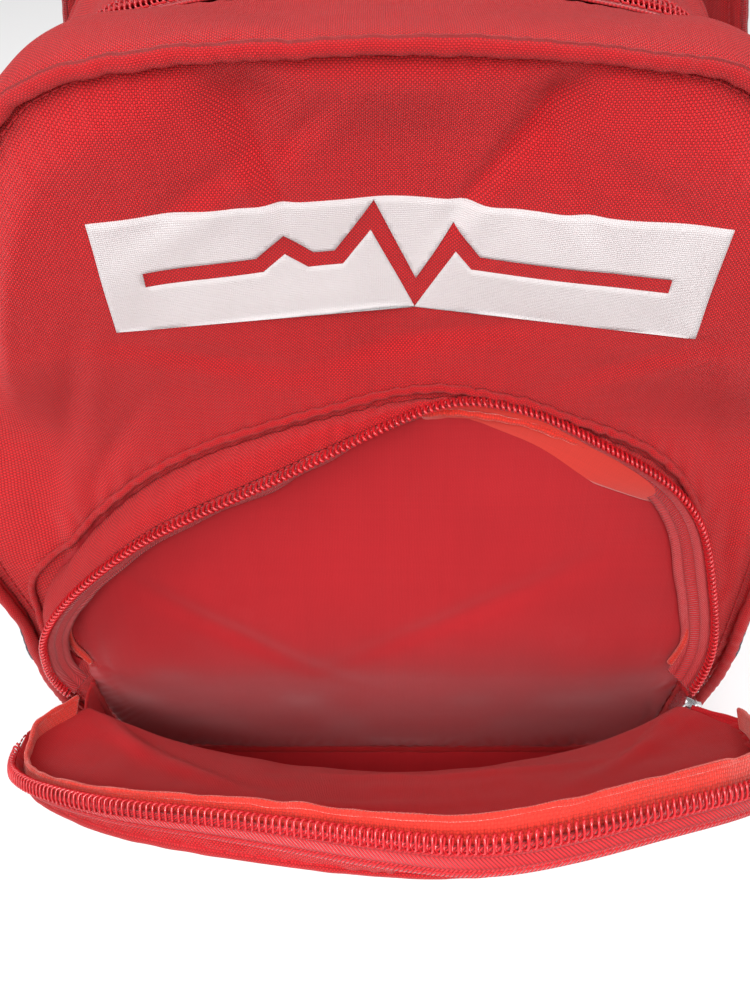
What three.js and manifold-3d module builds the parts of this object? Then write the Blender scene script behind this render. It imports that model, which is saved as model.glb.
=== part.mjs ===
// Trauma backpack, red woven polyester, standing upright with its front pocket unzipped.
// Units are millimetres. +Z is up, the front panel faces -Y and the wearer's side is +Y.
// +X is called right. The origin is the middle of the base, on the floor.
import * as THREE from "three";
import { mergeVertices } from "three/addons/utils/BufferGeometryUtils.js";
import Module from "manifold-3d";

const wasm = await Module();
wasm.setup();

// ---------- driving dimensions ----------
const FRONT_Y = -70; // plane of the front panel, before the sag
const BACK_Y = 75; // plane of the back panel
const SAG = 0.29; // share by which the loaded lower part is deeper than the top
const SAG_TOP_Z = 275; // the sag starts here and is full SAG_HEIGHT lower
const SAG_HEIGHT = 175;
const BACK_DROP = 12; // the top of the back panel is this much lower than the front's
const WALL = 2.4; // fabric plus lining
const PANEL_EDGE = 0.8; // the panels stop this far inside the outline
const BACK_SEAM_Y = BACK_Y - 3.5; // rear edge of the gussets
const ZIP_END_Z = 126; // the main zip ends here, above the side pockets
const TOP_Z = 400;
const TOP_RADIUS = 375; // circular top of the outline
const WEBBING_WIDTH = 25;

// ---------- materials ----------
const RED = 0xb3161c;
const DARK_RED = 0x7c1017;
const FABRIC = { color: RED, roughness: 0.85 };
const ZIP_TAPE = { color: RED, roughness: 0.9 };
const ZIP_COIL = { color: RED, roughness: 0.35 };
const BINDING = { color: 0xd2382f, roughness: 0.95 };
const DARK_CORD = { color: DARK_RED, roughness: 0.85 };
const WEBBING = { color: DARK_RED, roughness: 0.9 };
const FOAM = { color: 0xd8d5cf, roughness: 0.95 };
const STIFFENER = { color: 0x2b2b2d, roughness: 0.7 };
const ELASTIC = { color: 0x20242b, roughness: 0.8 };
const PRINT = { color: 0xf1eeee, roughness: 0.6 };
const STEEL = { color: 0xc9cbcd, roughness: 0.25, metalness: 1 };
const PLASTIC = { color: 0x17181a, roughness: 0.45 };

const root = new THREE.Group();
root.name = "trauma_backpack";

function add(name, geometry, material) {
  const mesh = new THREE.Mesh(geometry, new THREE.MeshStandardMaterial(material));
  mesh.name = name;
  root.add(mesh);
}

// ---------- small maths ----------
const vec = (x, y, z) => new THREE.Vector3(x, y, z);
const cross = (first, second) => new THREE.Vector3().crossVectors(first, second);
const clamp = (value) => Math.min(1, Math.max(0, value));
const lerp = (from, to, share) => from + (to - from) * share;
const signed = (share) => share * 2 - 1; // 0..1 to -1..1
const sideName = (side) => (side < 0 ? "left" : "right");

function smooth(value) {
  const share = clamp(value);
  return share * share * (3 - 2 * share);
}

// unit normal on the left of a direction in a plane
function leftNormal(dx, dy) {
  const length = Math.hypot(dx, dy);
  return [-dy / length, dx / length];
}

// direction of a curve, a function of 0..1, from points just before and after
function tangent(curve, share) {
  const after = curve(Math.min(1, share + 0.01));
  return after.sub(curve(Math.max(0, share - 0.01))).normalize();
}

// points with the running distance to each of them
function polyline(points) {
  const distances = [0];
  for (let i = 1; i < points.length; i++) {
    const [x0, y0] = points[i - 1];
    const [x1, y1] = points[i];
    distances.push(distances[i - 1] + Math.hypot(x1 - x0, y1 - y0));
  }
  return { points, distances, length: distances[distances.length - 1] };
}

function pointAlong({ points, distances, length }, distance) {
  const target = Math.min(length, Math.max(0, distance));
  let i = 1;
  while (i < distances.length - 1 && distances[i] < target) i++;
  const share = (target - distances[i - 1]) / (distances[i] - distances[i - 1]);
  return points[i].map((value, axis) => lerp(points[i - 1][axis], value, share));
}

// ---------- geometry builders ----------
function volume(geometry) {
  const { position } = geometry.attributes;
  const index = geometry.index.array;
  const corners = [vec(), vec(), vec()];
  let total = 0;
  for (let i = 0; i < index.length; i += 3) {
    corners.forEach((corner, k) => corner.fromBufferAttribute(position, index[i + k]));
    total += corners[0].dot(corners[1].cross(corners[2])) / 6;
  }
  return total;
}

function weld(geometry) {
  geometry.deleteAttribute("normal");
  geometry.deleteAttribute("uv");
  return mergeVertices(geometry, 1e-3);
}

// welds a closed surface and turns its triangles outwards
function finish(geometry) {
  const welded = weld(geometry);
  if (volume(welded) < 0) {
    const index = welded.index.array;
    for (let i = 0; i < index.length; i += 3) {
      [index[i + 1], index[i + 2]] = [index[i + 2], index[i + 1]];
    }
  }
  welded.computeVertexNormals();
  return welded;
}

// moves every vertex to place(x, y, z, index)
function reshape(geometry, place) {
  const { position } = geometry.attributes;
  for (let i = 0; i < position.count; i++) {
    const point = place(position.getX(i), position.getY(i), position.getZ(i), i);
    position.setXYZ(i, point.x, point.y, point.z);
  }
  return finish(geometry);
}

// closed sheet: place(along, across, layer) takes 0..1 on each axis; layer is only 0 or 1
function sheet(alongSteps, acrossSteps, place) {
  const box = new THREE.BoxGeometry(1, 1, 1, alongSteps, acrossSteps, 1);
  return reshape(box, (x, y, z) => place(x + 0.5, y + 0.5, z + 0.5));
}

// a frame is a section of a bar: its centre, and its wide and thin directions
const inFrame = ({ centre, wide, thin }, wideOffset, thinOffset) =>
  centre.clone().addScaledVector(wide, wideOffset).addScaledVector(thin, thinOffset);

function flatBar(steps, frameAt, halfWide, halfThin) {
  return sheet(steps, 1, (along, across, layer) =>
    inFrame(frameAt(along), signed(across) * halfWide, signed(layer) * halfThin));
}

function roundBar(steps, sides, frameAt, radius) {
  const cylinder = new THREE.CylinderGeometry(1, 1, 1, sides, steps);
  return reshape(cylinder, (x, y, z) => inFrame(frameAt(y + 0.5), x * radius, z * radius));
}

function basisAt(origin, xAxis, yAxis, zAxis) {
  return new THREE.Matrix4().makeBasis(xAxis, yAxis, zAxis).setPosition(origin);
}

function block(size, centre) {
  return new THREE.BoxGeometry(...size).translate(...centre);
}

// draws straight lines through the points of a Shape or Path and closes it
function trace(path, points) {
  points.forEach(([x, y], i) => (i ? path.lineTo(x, y) : path.moveTo(x, y)));
  path.closePath();
  return path;
}

function extrude(shape, depth, curveSegments) {
  return new THREE.ExtrudeGeometry(shape, { depth, bevelEnabled: false, curveSegments });
}

function toManifold(geometry) {
  const { attributes, index } = weld(geometry.clone());
  return new wasm.Manifold(new wasm.Mesh({
    numProp: 3,
    vertProperties: attributes.position.array,
    triVerts: new Uint32Array(index.array),
  }));
}

// union of overlapping solids
function joined(parts) {
  const mesh = parts.map(toManifold).reduce((whole, part) => whole.add(part)).getMesh();
  const geometry = new THREE.BufferGeometry();
  const positions = new Float32Array(mesh.vertProperties);
  geometry.setAttribute("position", new THREE.BufferAttribute(positions, 3));
  geometry.setIndex(new THREE.BufferAttribute(new Uint32Array(mesh.triVerts), 1));
  geometry.computeVertexNormals();
  return geometry;
}

// ---------- outline of the bag ----------
// right half of the panels, [x, z], from the middle of the base to the middle of the top
const RIGHT_HALF = [
  [0, 0], [60, 0], [112, 0], [130, 2.5], [144, 9], [153, 20], [157.5, 36], [160, 60],
  [162.5, 90], [164.5, 125], [165.3, 160], [165, 195], [163.8, 230], [161.5, 262],
  [158, 292], [152.5, 318], [145, 339], [136, 356], [126, 369.5], [113, 380],
];
for (const x of [97, 80, 62, 42, 21, 0]) {
  RIGHT_HALF.push([x, TOP_Z - TOP_RADIUS + Math.sqrt(TOP_RADIUS * TOP_RADIUS - x * x)]);
}
const RIGHT_SIDE = RIGHT_HALF.slice(2); // from the outer end of the flat base upwards
const RIGHT_LINE = polyline(RIGHT_HALF);
const HALF_LENGTH = RIGHT_LINE.length;
const FLAT_BASE = 8; // the normal is straight down within this distance of the base's middle

// the soft settling of the whole shell: deeper low down, lower at the back
function slump(x, y, z) {
  const sag = 1 + SAG * smooth((SAG_TOP_Z - z) / SAG_HEIGHT);
  const backShare = clamp((y - FRONT_Y) / (BACK_Y - FRONT_Y));
  const drop = BACK_DROP * backShare * smooth((z - 100) / 270);
  return vec(x, BACK_Y + (y - BACK_Y) * sag, z - drop);
}

function halfWidth(z) {
  const i = Math.max(1, RIGHT_SIDE.findIndex(([, height]) => z <= height));
  const [x0, z0] = RIGHT_SIDE[i - 1];
  const [x1, z1] = RIGHT_SIDE[i];
  return lerp(x0, x1, (z - z0) / (z1 - z0));
}

// Distances round the outline start at the top centre and are positive down the right side.
function outlinePoint(distance) {
  const [x, z] = pointAlong(RIGHT_LINE, HALF_LENGTH - Math.abs(distance));
  return [distance < 0 ? -x : x, z];
}

function outlineNormal(distance) {
  if (Math.abs(distance) > HALF_LENGTH - FLAT_BASE) return [0, -1];
  const [x0, z0] = outlinePoint(distance - 4);
  const [x1, z1] = outlinePoint(distance + 4);
  return leftNormal(x1 - x0, z1 - z0);
}

// section frame on the outline at depth y, moved outwards; distances past the base wrap round
function outlineFrame(distance, y, outwards) {
  const wrapped = distance <= HALF_LENGTH ? distance : distance - 2 * HALF_LENGTH;
  const [x, z] = outlinePoint(wrapped);
  const [nx, nz] = outlineNormal(wrapped);
  return {
    centre: slump(x + nx * outwards, y, z + nz * outwards),
    wide: vec(0, 1, 0),
    thin: vec(nx, 0, nz),
  };
}

// distance from the top centre down to height z, by bisection
function distanceDownTo(z) {
  let low = 0;
  let high = HALF_LENGTH;
  for (let i = 0; i < 40; i++) {
    const middle = (low + high) / 2;
    if (pointAlong(RIGHT_LINE, middle)[1] < z) low = middle;
    else high = middle;
  }
  return HALF_LENGTH - low;
}
const ZIP_END = distanceDownTo(ZIP_END_Z);
const ZIP_REACH = ZIP_END - 1.0; // the zip and the upper gussets stop here on each side

// ---------- shell: panels and gussets ----------
// heights of the panel rows on the full outline
const PANEL_ROWS = [
  0, 3, 9, 20, 36, 60, 90, 125, 160, 195, 215, 235, 258,
  282, 304, 322, 339, 356, 369.5, 380, 388, 394, 398.6,
];

function panel(inset, y0, y1, columns = 8) {
  const steps = PANEL_ROWS.length - 1;
  return sheet(columns, steps, (along, across, layer) => {
    const row = PANEL_ROWS[Math.round(across * steps)];
    const z = inset + (row * (TOP_Z - 2 * inset)) / TOP_Z;
    const width = Math.max(halfWidth(row) - inset, 1.5);
    return slump(signed(along) * width, lerp(y0, y1, layer), z);
  });
}

// wall along the outline between two distances and two depths
function gusset(start, end, y0, y1, steps) {
  return sheet(steps, 1, (along, across, layer) =>
    outlineFrame(lerp(start, end, along), lerp(y0, y1, across), lerp(-WALL, 0, layer)).centre);
}

const ZIP_STEPS = 44;
const ZIP_OPENING = 11.2; // half the gap that the main zip fills between the gussets

add("back_panel", panel(PANEL_EDGE, BACK_Y - 3, BACK_Y), FABRIC);
add("back_foam", panel(14, BACK_Y - 12, BACK_Y - 3.5, 4), FOAM);
add("front_panel", panel(PANEL_EDGE, FRONT_Y, FRONT_Y + 2.4), FABRIC);
add("rear_gusset", gusset(-ZIP_REACH, ZIP_REACH, ZIP_OPENING, BACK_SEAM_Y, ZIP_STEPS), FABRIC);
add("front_gusset", gusset(-ZIP_REACH, ZIP_REACH, FRONT_Y + 3, -ZIP_OPENING, ZIP_STEPS), FABRIC);

// base and lower sides in one piece, from one zip end round the base to the other
const BASE_START = ZIP_END + 0.4;
const BASE_END = 2 * HALF_LENGTH - ZIP_END - 0.4;
add("base_gusset", gusset(BASE_START, BASE_END, FRONT_Y + 4, BACK_SEAM_Y, 35), FABRIC);

add("base_stiffener", sheet(1, 1, (along, across, layer) =>
  vec(signed(along) * 108, lerp(-96, 62, across), lerp(3.4, 6.4, layer))), STIFFENER);

// ---------- main zip ----------
const ZIP_INSET = 0.9; // the zip's middle lies this far inside the outline

function zipStrip(y, halfWide, halfThin) {
  const frameAt = (along) => outlineFrame(lerp(-ZIP_REACH, ZIP_REACH, along), y, -ZIP_INSET);
  return flatBar(ZIP_STEPS, frameAt, halfWide, halfThin);
}
add("main_zip_tape_rear", zipStrip(7.2, 3.7, 0.5), ZIP_TAPE);
add("main_zip_tape_front", zipStrip(-7.2, 3.7, 0.5), ZIP_TAPE);
add("main_zip_coil_rear", zipStrip(2.1, 1.1, 0.9), ZIP_COIL);
add("main_zip_coil_front", zipStrip(-2.1, 1.1, 0.9), ZIP_COIL);

// closed piping cord round the whole outline
function piping({ y, inset, radius, steps }) {
  const torus = new THREE.TorusGeometry(10, 1, 6, steps);
  const { uv } = torus.attributes;
  return reshape(torus, (_x, _y, _z, i) => {
    const along = uv.getX(i) % 1;
    const angle = (uv.getY(i) % 1) * 2 * Math.PI;
    const frame = outlineFrame(lerp(-HALF_LENGTH, HALF_LENGTH, along), y, -inset);
    return inFrame(frame, Math.sin(angle) * radius, Math.cos(angle) * radius);
  });
}
add("front_piping", piping({ y: FRONT_Y - 3.9, inset: 3.2, radius: 2.7, steps: 64 }), FABRIC);
add("back_piping", piping({ y: BACK_Y + 2.8, inset: 3.0, radius: 2.3, steps: 56 }), DARK_CORD);

// ---------- front pocket: its mouth ----------
const HINGE_Y = -135; // hinge line of the flap, along X
const HINGE_Z = 112;
const FLAP_OPEN = THREE.MathUtils.degToRad(61);
const RIM_TOP_Y = -80; // top of the zipped mouth
const RIM_TOP_Z = 264;
const SEAM_GAP = 0.6; // pocket walls stop this far in front of the front panel
const GUSSET_THICKNESS = 1.6;
const ARC_STEPS = 34;

// The mouth is a flat arch that leans back. In its own plane (x, rise) it is a corner arc,
// a wide top arc and the mirrored corner arc.
const MOUTH_FOOT_Y = HINGE_Y + 5;
const MOUTH_UP = vec(0, RIM_TOP_Y - MOUTH_FOOT_Y, RIM_TOP_Z - HINGE_Z);
const MOUTH_HEIGHT = MOUTH_UP.length();
MOUTH_UP.normalize();
const MOUTH_NORMAL = vec(0, MOUTH_UP.z, -MOUTH_UP.y); // points into the bag

const CORNER = { x: 52, rise: 45, radius: 105, startAngle: -0.41, startDistance: 0 };
// the top arc is tangent to the corner arc and reaches the mouth's full height
const ABOVE_CORNER = MOUTH_HEIGHT - CORNER.rise;
const TOP_ARC_RADIUS =
  (CORNER.x ** 2 + ABOVE_CORNER ** 2 - CORNER.radius ** 2) / (2 * (ABOVE_CORNER - CORNER.radius));
const TOP_ARC_RISE = MOUTH_HEIGHT - TOP_ARC_RADIUS;
const MEET_ANGLE = Math.atan2(CORNER.rise - TOP_ARC_RISE, CORNER.x);
const CORNER_LENGTH = CORNER.radius * (MEET_ANGLE - CORNER.startAngle);
const TOP_ARC = {
  x: 0,
  rise: TOP_ARC_RISE,
  radius: TOP_ARC_RADIUS,
  startAngle: MEET_ANGLE,
  startDistance: CORNER_LENGTH,
};
const MOUTH_LENGTH = 2 * (CORNER_LENGTH + TOP_ARC_RADIUS * (Math.PI / 2 - MEET_ANGLE));

// share runs from the right foot (0) over the top (0.5) to the left foot (1)
function mouth(share, outwards) {
  const isLeft = share > 0.5;
  const distance = (isLeft ? 1 - share : share) * MOUTH_LENGTH;
  const arc = distance < CORNER_LENGTH ? CORNER : TOP_ARC;
  const angle = arc.startAngle + (distance - arc.startDistance) / arc.radius;
  const x = arc.x + (arc.radius + outwards) * Math.cos(angle);
  const rise = arc.rise + (arc.radius + outwards) * Math.sin(angle);
  return { x: isLeft ? -x : x, rise, z: HINGE_Z + MOUTH_UP.z * rise };
}

const onMouth = (x, rise, depth = 0) =>
  vec(x, MOUTH_FOOT_Y, HINGE_Z).addScaledVector(MOUTH_UP, rise).addScaledVector(MOUTH_NORMAL, depth);

function rim(share, depth = 0, outwards = 0) {
  const { x, rise } = mouth(share, outwards);
  return onMouth(x, rise, depth);
}

// y of the closed flap's curved face
function faceY(z) {
  const share = clamp((z - HINGE_Z) / (RIM_TOP_Z - HINGE_Z));
  return HINGE_Y + 28 * Math.pow(share, 1.25);
}

// where the upper gusset meets the front panel
function panelSeam(share) {
  const { x, z } = mouth(share, -5.5);
  return slump(x, FRONT_Y - SEAM_GAP, z + 2.5);
}

// where the flap's gusset meets its face, with the flap closed
function faceEdge(share) {
  const { x, z } = mouth(share, -2.5);
  return vec(x, faceY(z) - 1.2, z);
}

// turns a point of the closed flap forward and down about the hinge line
function opened(point) {
  const y = point.y - HINGE_Y;
  const z = point.z - HINGE_Z;
  const cos = Math.cos(FLAP_OPEN);
  const sin = Math.sin(FLAP_OPEN);
  return vec(point.x, HINGE_Y + y * cos - z * sin, HINGE_Z + y * sin + z * cos);
}
const asBuilt = (point) => point;

// strip square to the mouth's plane, from depth startAt(share) to depth end
function band({ startAt, end, inner, outer, pose = asBuilt }) {
  return sheet(ARC_STEPS, 1, (along, across, layer) =>
    pose(rim(along, lerp(startAt(along), end, across), lerp(inner, outer, layer))));
}

// gusset between two curves, with a gap left at each of them
function ruledGusset({ from, to, fromGap, toGap, pose = asBuilt }) {
  return sheet(ARC_STEPS, 1, (along, across, layer) => {
    const start = from(along);
    const direction = to(along).sub(start);
    const length = direction.length();
    direction.divideScalar(length);
    const normal = cross(tangent(from, along), direction).normalize();
    const far = to(along);
    // the normal points away from the pocket's middle
    if (normal.dot(vec(far.x, 0, far.z - 150)) < 0) normal.negate();
    const distance = lerp(fromGap, length - toGap, across);
    const inwards = GUSSET_THICKNESS * (1 - layer);
    return pose(start.addScaledVector(direction, distance).addScaledVector(normal, -inwards));
  });
}

// depths from the mouth's plane; the body is on the plus side, the flap on the minus side
const COIL_NEAR = 0.8;
const COIL_FAR = 2.8;
const TAPE_NEAR = 3.1;
const TAPE_FAR = 6.0;
const COIL_FACES = { inner: -0.9, outer: 0.9 };
const TAPE_FACES = { inner: -0.45, outer: 0.45 };

add("pocket_coil_body",
  band({ startAt: () => COIL_NEAR, end: COIL_FAR, ...COIL_FACES }), ZIP_COIL);
add("pocket_tape_body",
  band({ startAt: () => TAPE_NEAR, end: TAPE_FAR, ...TAPE_FACES }), ZIP_TAPE);
add("pocket_upper_gusset", ruledGusset({
  from: (share) => rim(share, TAPE_FAR),
  to: panelSeam,
  fromGap: 0.8,
  toGap: 1.0,
}), FABRIC);

// the flap's tape is as deep as the room between the mouth and the flap's face allows
function flapTapeEnd(share) {
  const room = Math.abs(faceEdge(share).sub(rim(share)).dot(MOUTH_NORMAL));
  return -Math.min(8, Math.max(4.4, 0.55 * room));
}
add("flap_coil",
  band({ startAt: () => -COIL_FAR, end: -COIL_NEAR, ...COIL_FACES, pose: opened }), ZIP_COIL);
add("flap_tape",
  band({ startAt: flapTapeEnd, end: -TAPE_NEAR, ...TAPE_FACES, pose: opened }), ZIP_TAPE);
add("flap_gusset", ruledGusset({
  from: (share) => rim(share, flapTapeEnd(share)),
  to: faceEdge,
  fromGap: 0.3,
  toGap: 0.5,
  pose: opened,
}), FABRIC);

// piping on the front panel, round the top of the pocket's seam
function pocketPipingCentre(share) {
  const { x, z } = mouth(lerp(0.13, 0.87, share), -0.8);
  return slump(x, FRONT_Y, z + 3.6).add(vec(0, -3.3, 0));
}
function pocketPipingFrame(share) {
  const direction = tangent(pocketPipingCentre, share);
  const wide = cross(direction, vec(0, 1, 0)).normalize();
  const thin = cross(wide, direction).normalize();
  return { centre: pocketPipingCentre(share), wide, thin };
}
add("pocket_piping", roundBar(30, 6, pocketPipingFrame, 1.7), FABRIC);

// ---------- front pocket: lower part ----------
const POCKET_HALF_WIDTH = 151;
const POCKET_BOTTOM_Z = 15;
const POCKET_CORNER = 46; // radius of the bottom corners
const CORNER_CENTRE_X = POCKET_HALF_WIDTH - POCKET_CORNER;
const CORNER_CENTRE_Z = POCKET_BOTTOM_Z + POCKET_CORNER;
const BELLY = 12; // how far the wall stands forward in the middle

function lowerFrontY(x, z) {
  const heightShare = clamp((z - POCKET_BOTTOM_Z) / (HINGE_Z - POCKET_BOTTOM_Z));
  return HINGE_Y - BELLY * Math.max(0, 1 - (x / 150) ** 2) * Math.sin(Math.PI * heightShare);
}

function pocketBottomZ(x) {
  const share = Math.min(1, Math.max(0, Math.abs(x) - CORNER_CENTRE_X) / POCKET_CORNER);
  return POCKET_BOTTOM_Z + POCKET_CORNER * (1 - Math.sqrt(1 - share ** 2));
}

// columns of the front wall as shares of its half width
const LOWER_COLUMNS = [
  -1, -0.985, -0.94, -0.86, -0.74, -0.55, -0.3, 0, 0.3, 0.55, 0.74, 0.86, 0.94, 0.985, 1,
];
add("pocket_lower_front", sheet(14, 5, (along, across, layer) => {
  const column = LOWER_COLUMNS[Math.round(along * 14)];
  const straightX = column * (POCKET_HALF_WIDTH - 2.2);
  const bottom = Math.min(pocketBottomZ(straightX) + 0.6, CORNER_CENTRE_Z);
  const z = lerp(bottom, HINGE_Z - 1.5, across);
  const x = straightX - column * 11 * smooth((z - 84) / 20); // narrows towards the hinge
  return vec(x, lowerFrontY(x, z) + 1.8 * (1 - layer), z);
}), FABRIC);

// side and bottom walls: a U seen from the front, [x, z], from the right top to the left top
function lowerOutline() {
  const right = [];
  for (let z = HINGE_Z - 14; z > CORNER_CENTRE_Z + 4; z -= 12) right.push([POCKET_HALF_WIDTH, z]);
  for (let degrees = 0; degrees <= 90; degrees += 15) {
    const angle = (degrees * Math.PI) / 180;
    right.push([
      CORNER_CENTRE_X + POCKET_CORNER * Math.cos(angle),
      CORNER_CENTRE_Z - POCKET_CORNER * Math.sin(angle),
    ]);
  }
  right.push([54, POCKET_BOTTOM_Z]);
  const left = right.map(([x, z]) => [-x, z]).reverse();
  return polyline([...right, [0, POCKET_BOTTOM_Z], ...left]);
}
const LOWER_OUTLINE = lowerOutline();
add("pocket_lower_gusset", sheet(30, 1, (along, across, layer) => {
  const distance = along * LOWER_OUTLINE.length;
  const [x, z] = pointAlong(LOWER_OUTLINE, distance);
  const [x0, z0] = pointAlong(LOWER_OUTLINE, distance - 3);
  const [x1, z1] = pointAlong(LOWER_OUTLINE, distance + 3);
  const [nx, nz] = leftNormal(x1 - x0, z1 - z0); // points away from the pocket
  const outwards = 0.9 * signed(layer);
  const rearY = slump(0, FRONT_Y, z).y - SEAM_GAP;
  const frontY = lowerFrontY(x * 0.98, z) + 2.6;
  return vec(x + nx * outwards, lerp(rearY, frontY, across), z + nz * outwards);
}), FABRIC);

// ---------- front pocket: flap ----------
const FLAP_HINGE_HALF = 137; // half length of the flap's hinge edge

// across is 0 at the hinge line and 1 at the mouth's outline
add("flap_panel", sheet(26, 5, (along, across, layer) => {
  const edge = mouth(along, -5.8);
  const x = lerp(FLAP_HINGE_HALF * (1 - 2 * along), edge.x, across);
  const z = lerp(HINGE_Z + 1.2, Math.max(edge.z, HINGE_Z + 2.6), across);
  return opened(vec(x, faceY(z) + 1.8 * (1 - layer), z));
}), FABRIC);

add("flap_binding", band({
  startAt: (share) => flapTapeEnd(share) + 0.6,
  end: -3.0,
  inner: -4.5,
  outer: -3.65,
  pose: opened,
}), BINDING);

// ---------- zip sliders and pulls ----------
// Local axes: x along the zip with the wide nose at +x, y across, z out of the bag.
const PIVOT = 5.1; // height of the pull's hinge, which is parallel to local y
const PULL_HALF_WIDTH = 4;

// two plates, a post between them, and a bridge that holds the pull
function sliderGeometry(matrix) {
  const plate = new THREE.Shape();
  plate.moveTo(-6, -2.6);
  plate.lineTo(1.5, -4.6);
  plate.quadraticCurveTo(5.5, -5.0, 6, -2.2);
  plate.lineTo(6, 2.2);
  plate.quadraticCurveTo(5.5, 5.0, 1.5, 4.6);
  plate.lineTo(-6, 2.6);
  plate.closePath();
  const upper = extrude(plate, 1.2, 4).translate(0, 0, 2.5);
  const lower = extrude(plate, 1.1, 4).translate(0, 0, -3.3);
  const post = block([5.0, 0.9, 5.6], [3.2, 0, 0.2]);
  const bridge = joined([
    block([1.3, 2.4, 3.6], [-4.2, 0, 5.1]),
    block([1.3, 2.4, 3.6], [4.4, 0, 5.1]),
    block([9.9, 2.4, 1.1], [0.1, 0, 7.3]),
  ]);
  return joined([upper, lower, post, bridge]).applyMatrix4(matrix);
}

// flat tab with a slot; its end bar lies under the bridge
function pullGeometry(matrix, length) {
  const tab = new THREE.Shape();
  const width = PULL_HALF_WIDTH;
  tab.moveTo(-0.8, -3.4);
  tab.lineTo(6.5, -3.4);
  tab.lineTo(9.5, -width);
  tab.lineTo(length - 2, -width);
  tab.quadraticCurveTo(length, -width, length, 0);
  tab.quadraticCurveTo(length, width, length - 2, width);
  tab.lineTo(9.5, width);
  tab.lineTo(6.5, 3.4);
  tab.lineTo(-0.8, 3.4);
  tab.closePath();
  const slot = [[0.8, -1.9], [6.2, -1.9], [6.2, 1.9], [0.8, 1.9]];
  tab.holes.push(trace(new THREE.Path(), slot));
  return finish(extrude(tab, 1.2, 5).translate(0, 0, PIVOT - 0.6).applyMatrix4(matrix));
}

// lift is the pull's angle, in radians, from lying back along the zip
function addSlider({ sliderName, pullName, matrix, pullLength, lift }) {
  add(sliderName, sliderGeometry(matrix), STEEL);
  const pullMatrix = matrix.clone()
    .multiply(new THREE.Matrix4().makeTranslation(0, 0, PIVOT))
    .multiply(new THREE.Matrix4().makeRotationY(Math.PI + lift))
    .multiply(new THREE.Matrix4().makeTranslation(0, 0, -PIVOT));
  add(pullName, pullGeometry(pullMatrix, pullLength), STEEL);
}

// pocket slider, just beyond the right foot of the mouth
function addPocketSlider() {
  const angle = CORNER.startAngle - 8.2 / CORNER.radius;
  const cos = Math.cos(angle);
  const sin = Math.sin(angle);
  const out = vec(cos, 0, 0).addScaledVector(MOUTH_UP, sin);
  const forward = vec(-sin, 0, 0).addScaledVector(MOUTH_UP, cos);
  const origin = onMouth(CORNER.x + CORNER.radius * cos, CORNER.rise + CORNER.radius * sin);
  addSlider({
    sliderName: "pocket_slider",
    pullName: "pocket_pull",
    matrix: basisAt(origin, forward, cross(out, forward).normalize(), out),
    pullLength: 26,
    lift: 1.15,
  });
}
addPocketSlider();

// main sliders beside the top centre, noses towards the middle
for (const side of [-1, 1]) {
  const { centre, thin: out } = outlineFrame(side * 13, 0, -ZIP_INSET);
  const forward = vec(-side * out.z, 0, side * out.x);
  addSlider({
    sliderName: `main_slider_${sideName(side)}`,
    pullName: `main_pull_${sideName(side)}`,
    matrix: basisAt(centre, forward, cross(out, forward), out),
    pullLength: 28,
    lift: 0.16,
  });
}

// ---------- printed band on the front panel, with a pulse line left open in it ----------
const LABEL_HALF_WIDTH = 106;
const LABEL_HALF_HEIGHT = 23.5;
const LABEL_X = 5;
const LABEL_Z = 323.5;
const PULSE_HALF_WIDTH = 3; // half the stroke's width
const MITRE_LIMIT = 2.2;
// middle of the pulse line's stroke, [x, y] from the label's centre
const PULSE = [
  [-92, 0], [-52, 0], [-43, 7], [-34, 0], [-24, 0], [-12, 15.5], [4, -16], [17, 9], [25, 0], [92, 0],
];

// outline of the stroke, with mitred corners
function pulseOutline() {
  const normals = PULSE.slice(1).map(([x, y], i) => leftNormal(x - PULSE[i][0], y - PULSE[i][1]));
  const upper = [];
  const lower = [];
  PULSE.forEach(([x, y], i) => {
    const before = normals[Math.max(0, i - 1)];
    const after = normals[Math.min(normals.length - 1, i)];
    const sumX = before[0] + after[0];
    const sumY = before[1] + after[1];
    const length = Math.hypot(sumX, sumY);
    const mitreX = sumX / length;
    const mitreY = sumY / length;
    const stretch = Math.min(MITRE_LIMIT, 1 / (mitreX * before[0] + mitreY * before[1]));
    const reach = PULSE_HALF_WIDTH * stretch;
    upper.push([x + mitreX * reach, y + mitreY * reach]);
    lower.push([x - mitreX * reach, y - mitreY * reach]);
  });
  return [...upper, ...lower.reverse()];
}

function labelPrint() {
  const width = LABEL_HALF_WIDTH;
  const height = LABEL_HALF_HEIGHT;
  const corners = [[-width, -height], [width, -height], [width, height], [-width, height]];
  const shape = trace(new THREE.Shape(), corners);
  shape.holes.push(trace(new THREE.Path(), pulseOutline()));
  // lie along the slope of the front panel, extruded towards -Y
  const low = slump(0, FRONT_Y, LABEL_Z - height);
  const high = slump(0, FRONT_Y, LABEL_Z + height);
  const tilt = Math.atan2(low.y - high.y, high.z - low.z);
  const up = vec(0, -Math.sin(tilt), Math.cos(tilt));
  const out = vec(0, -Math.cos(tilt), -Math.sin(tilt));
  const origin = slump(LABEL_X, FRONT_Y, LABEL_Z).addScaledVector(out, 1.0);
  return finish(extrude(shape, 0.5).applyMatrix4(basisAt(origin, vec(1, 0, 0), up, out)));
}
add("label_print", labelPrint(), PRINT);

// ---------- side pockets of mesh with elastic tops ----------
// how far the pocket bulges from the bag's side
const standOff = (along, heightShare) =>
  1.0 + 9.5 * Math.sin(Math.PI * along) ** 0.8 * (0.25 + 0.75 * heightShare);

function sidePocketPoint(side, along, z, outwards) {
  const x = side * (halfWidth(z) + 0.4 + outwards);
  return slump(x, lerp(FRONT_Y + 5, BACK_Y - 5, along), z);
}

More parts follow.
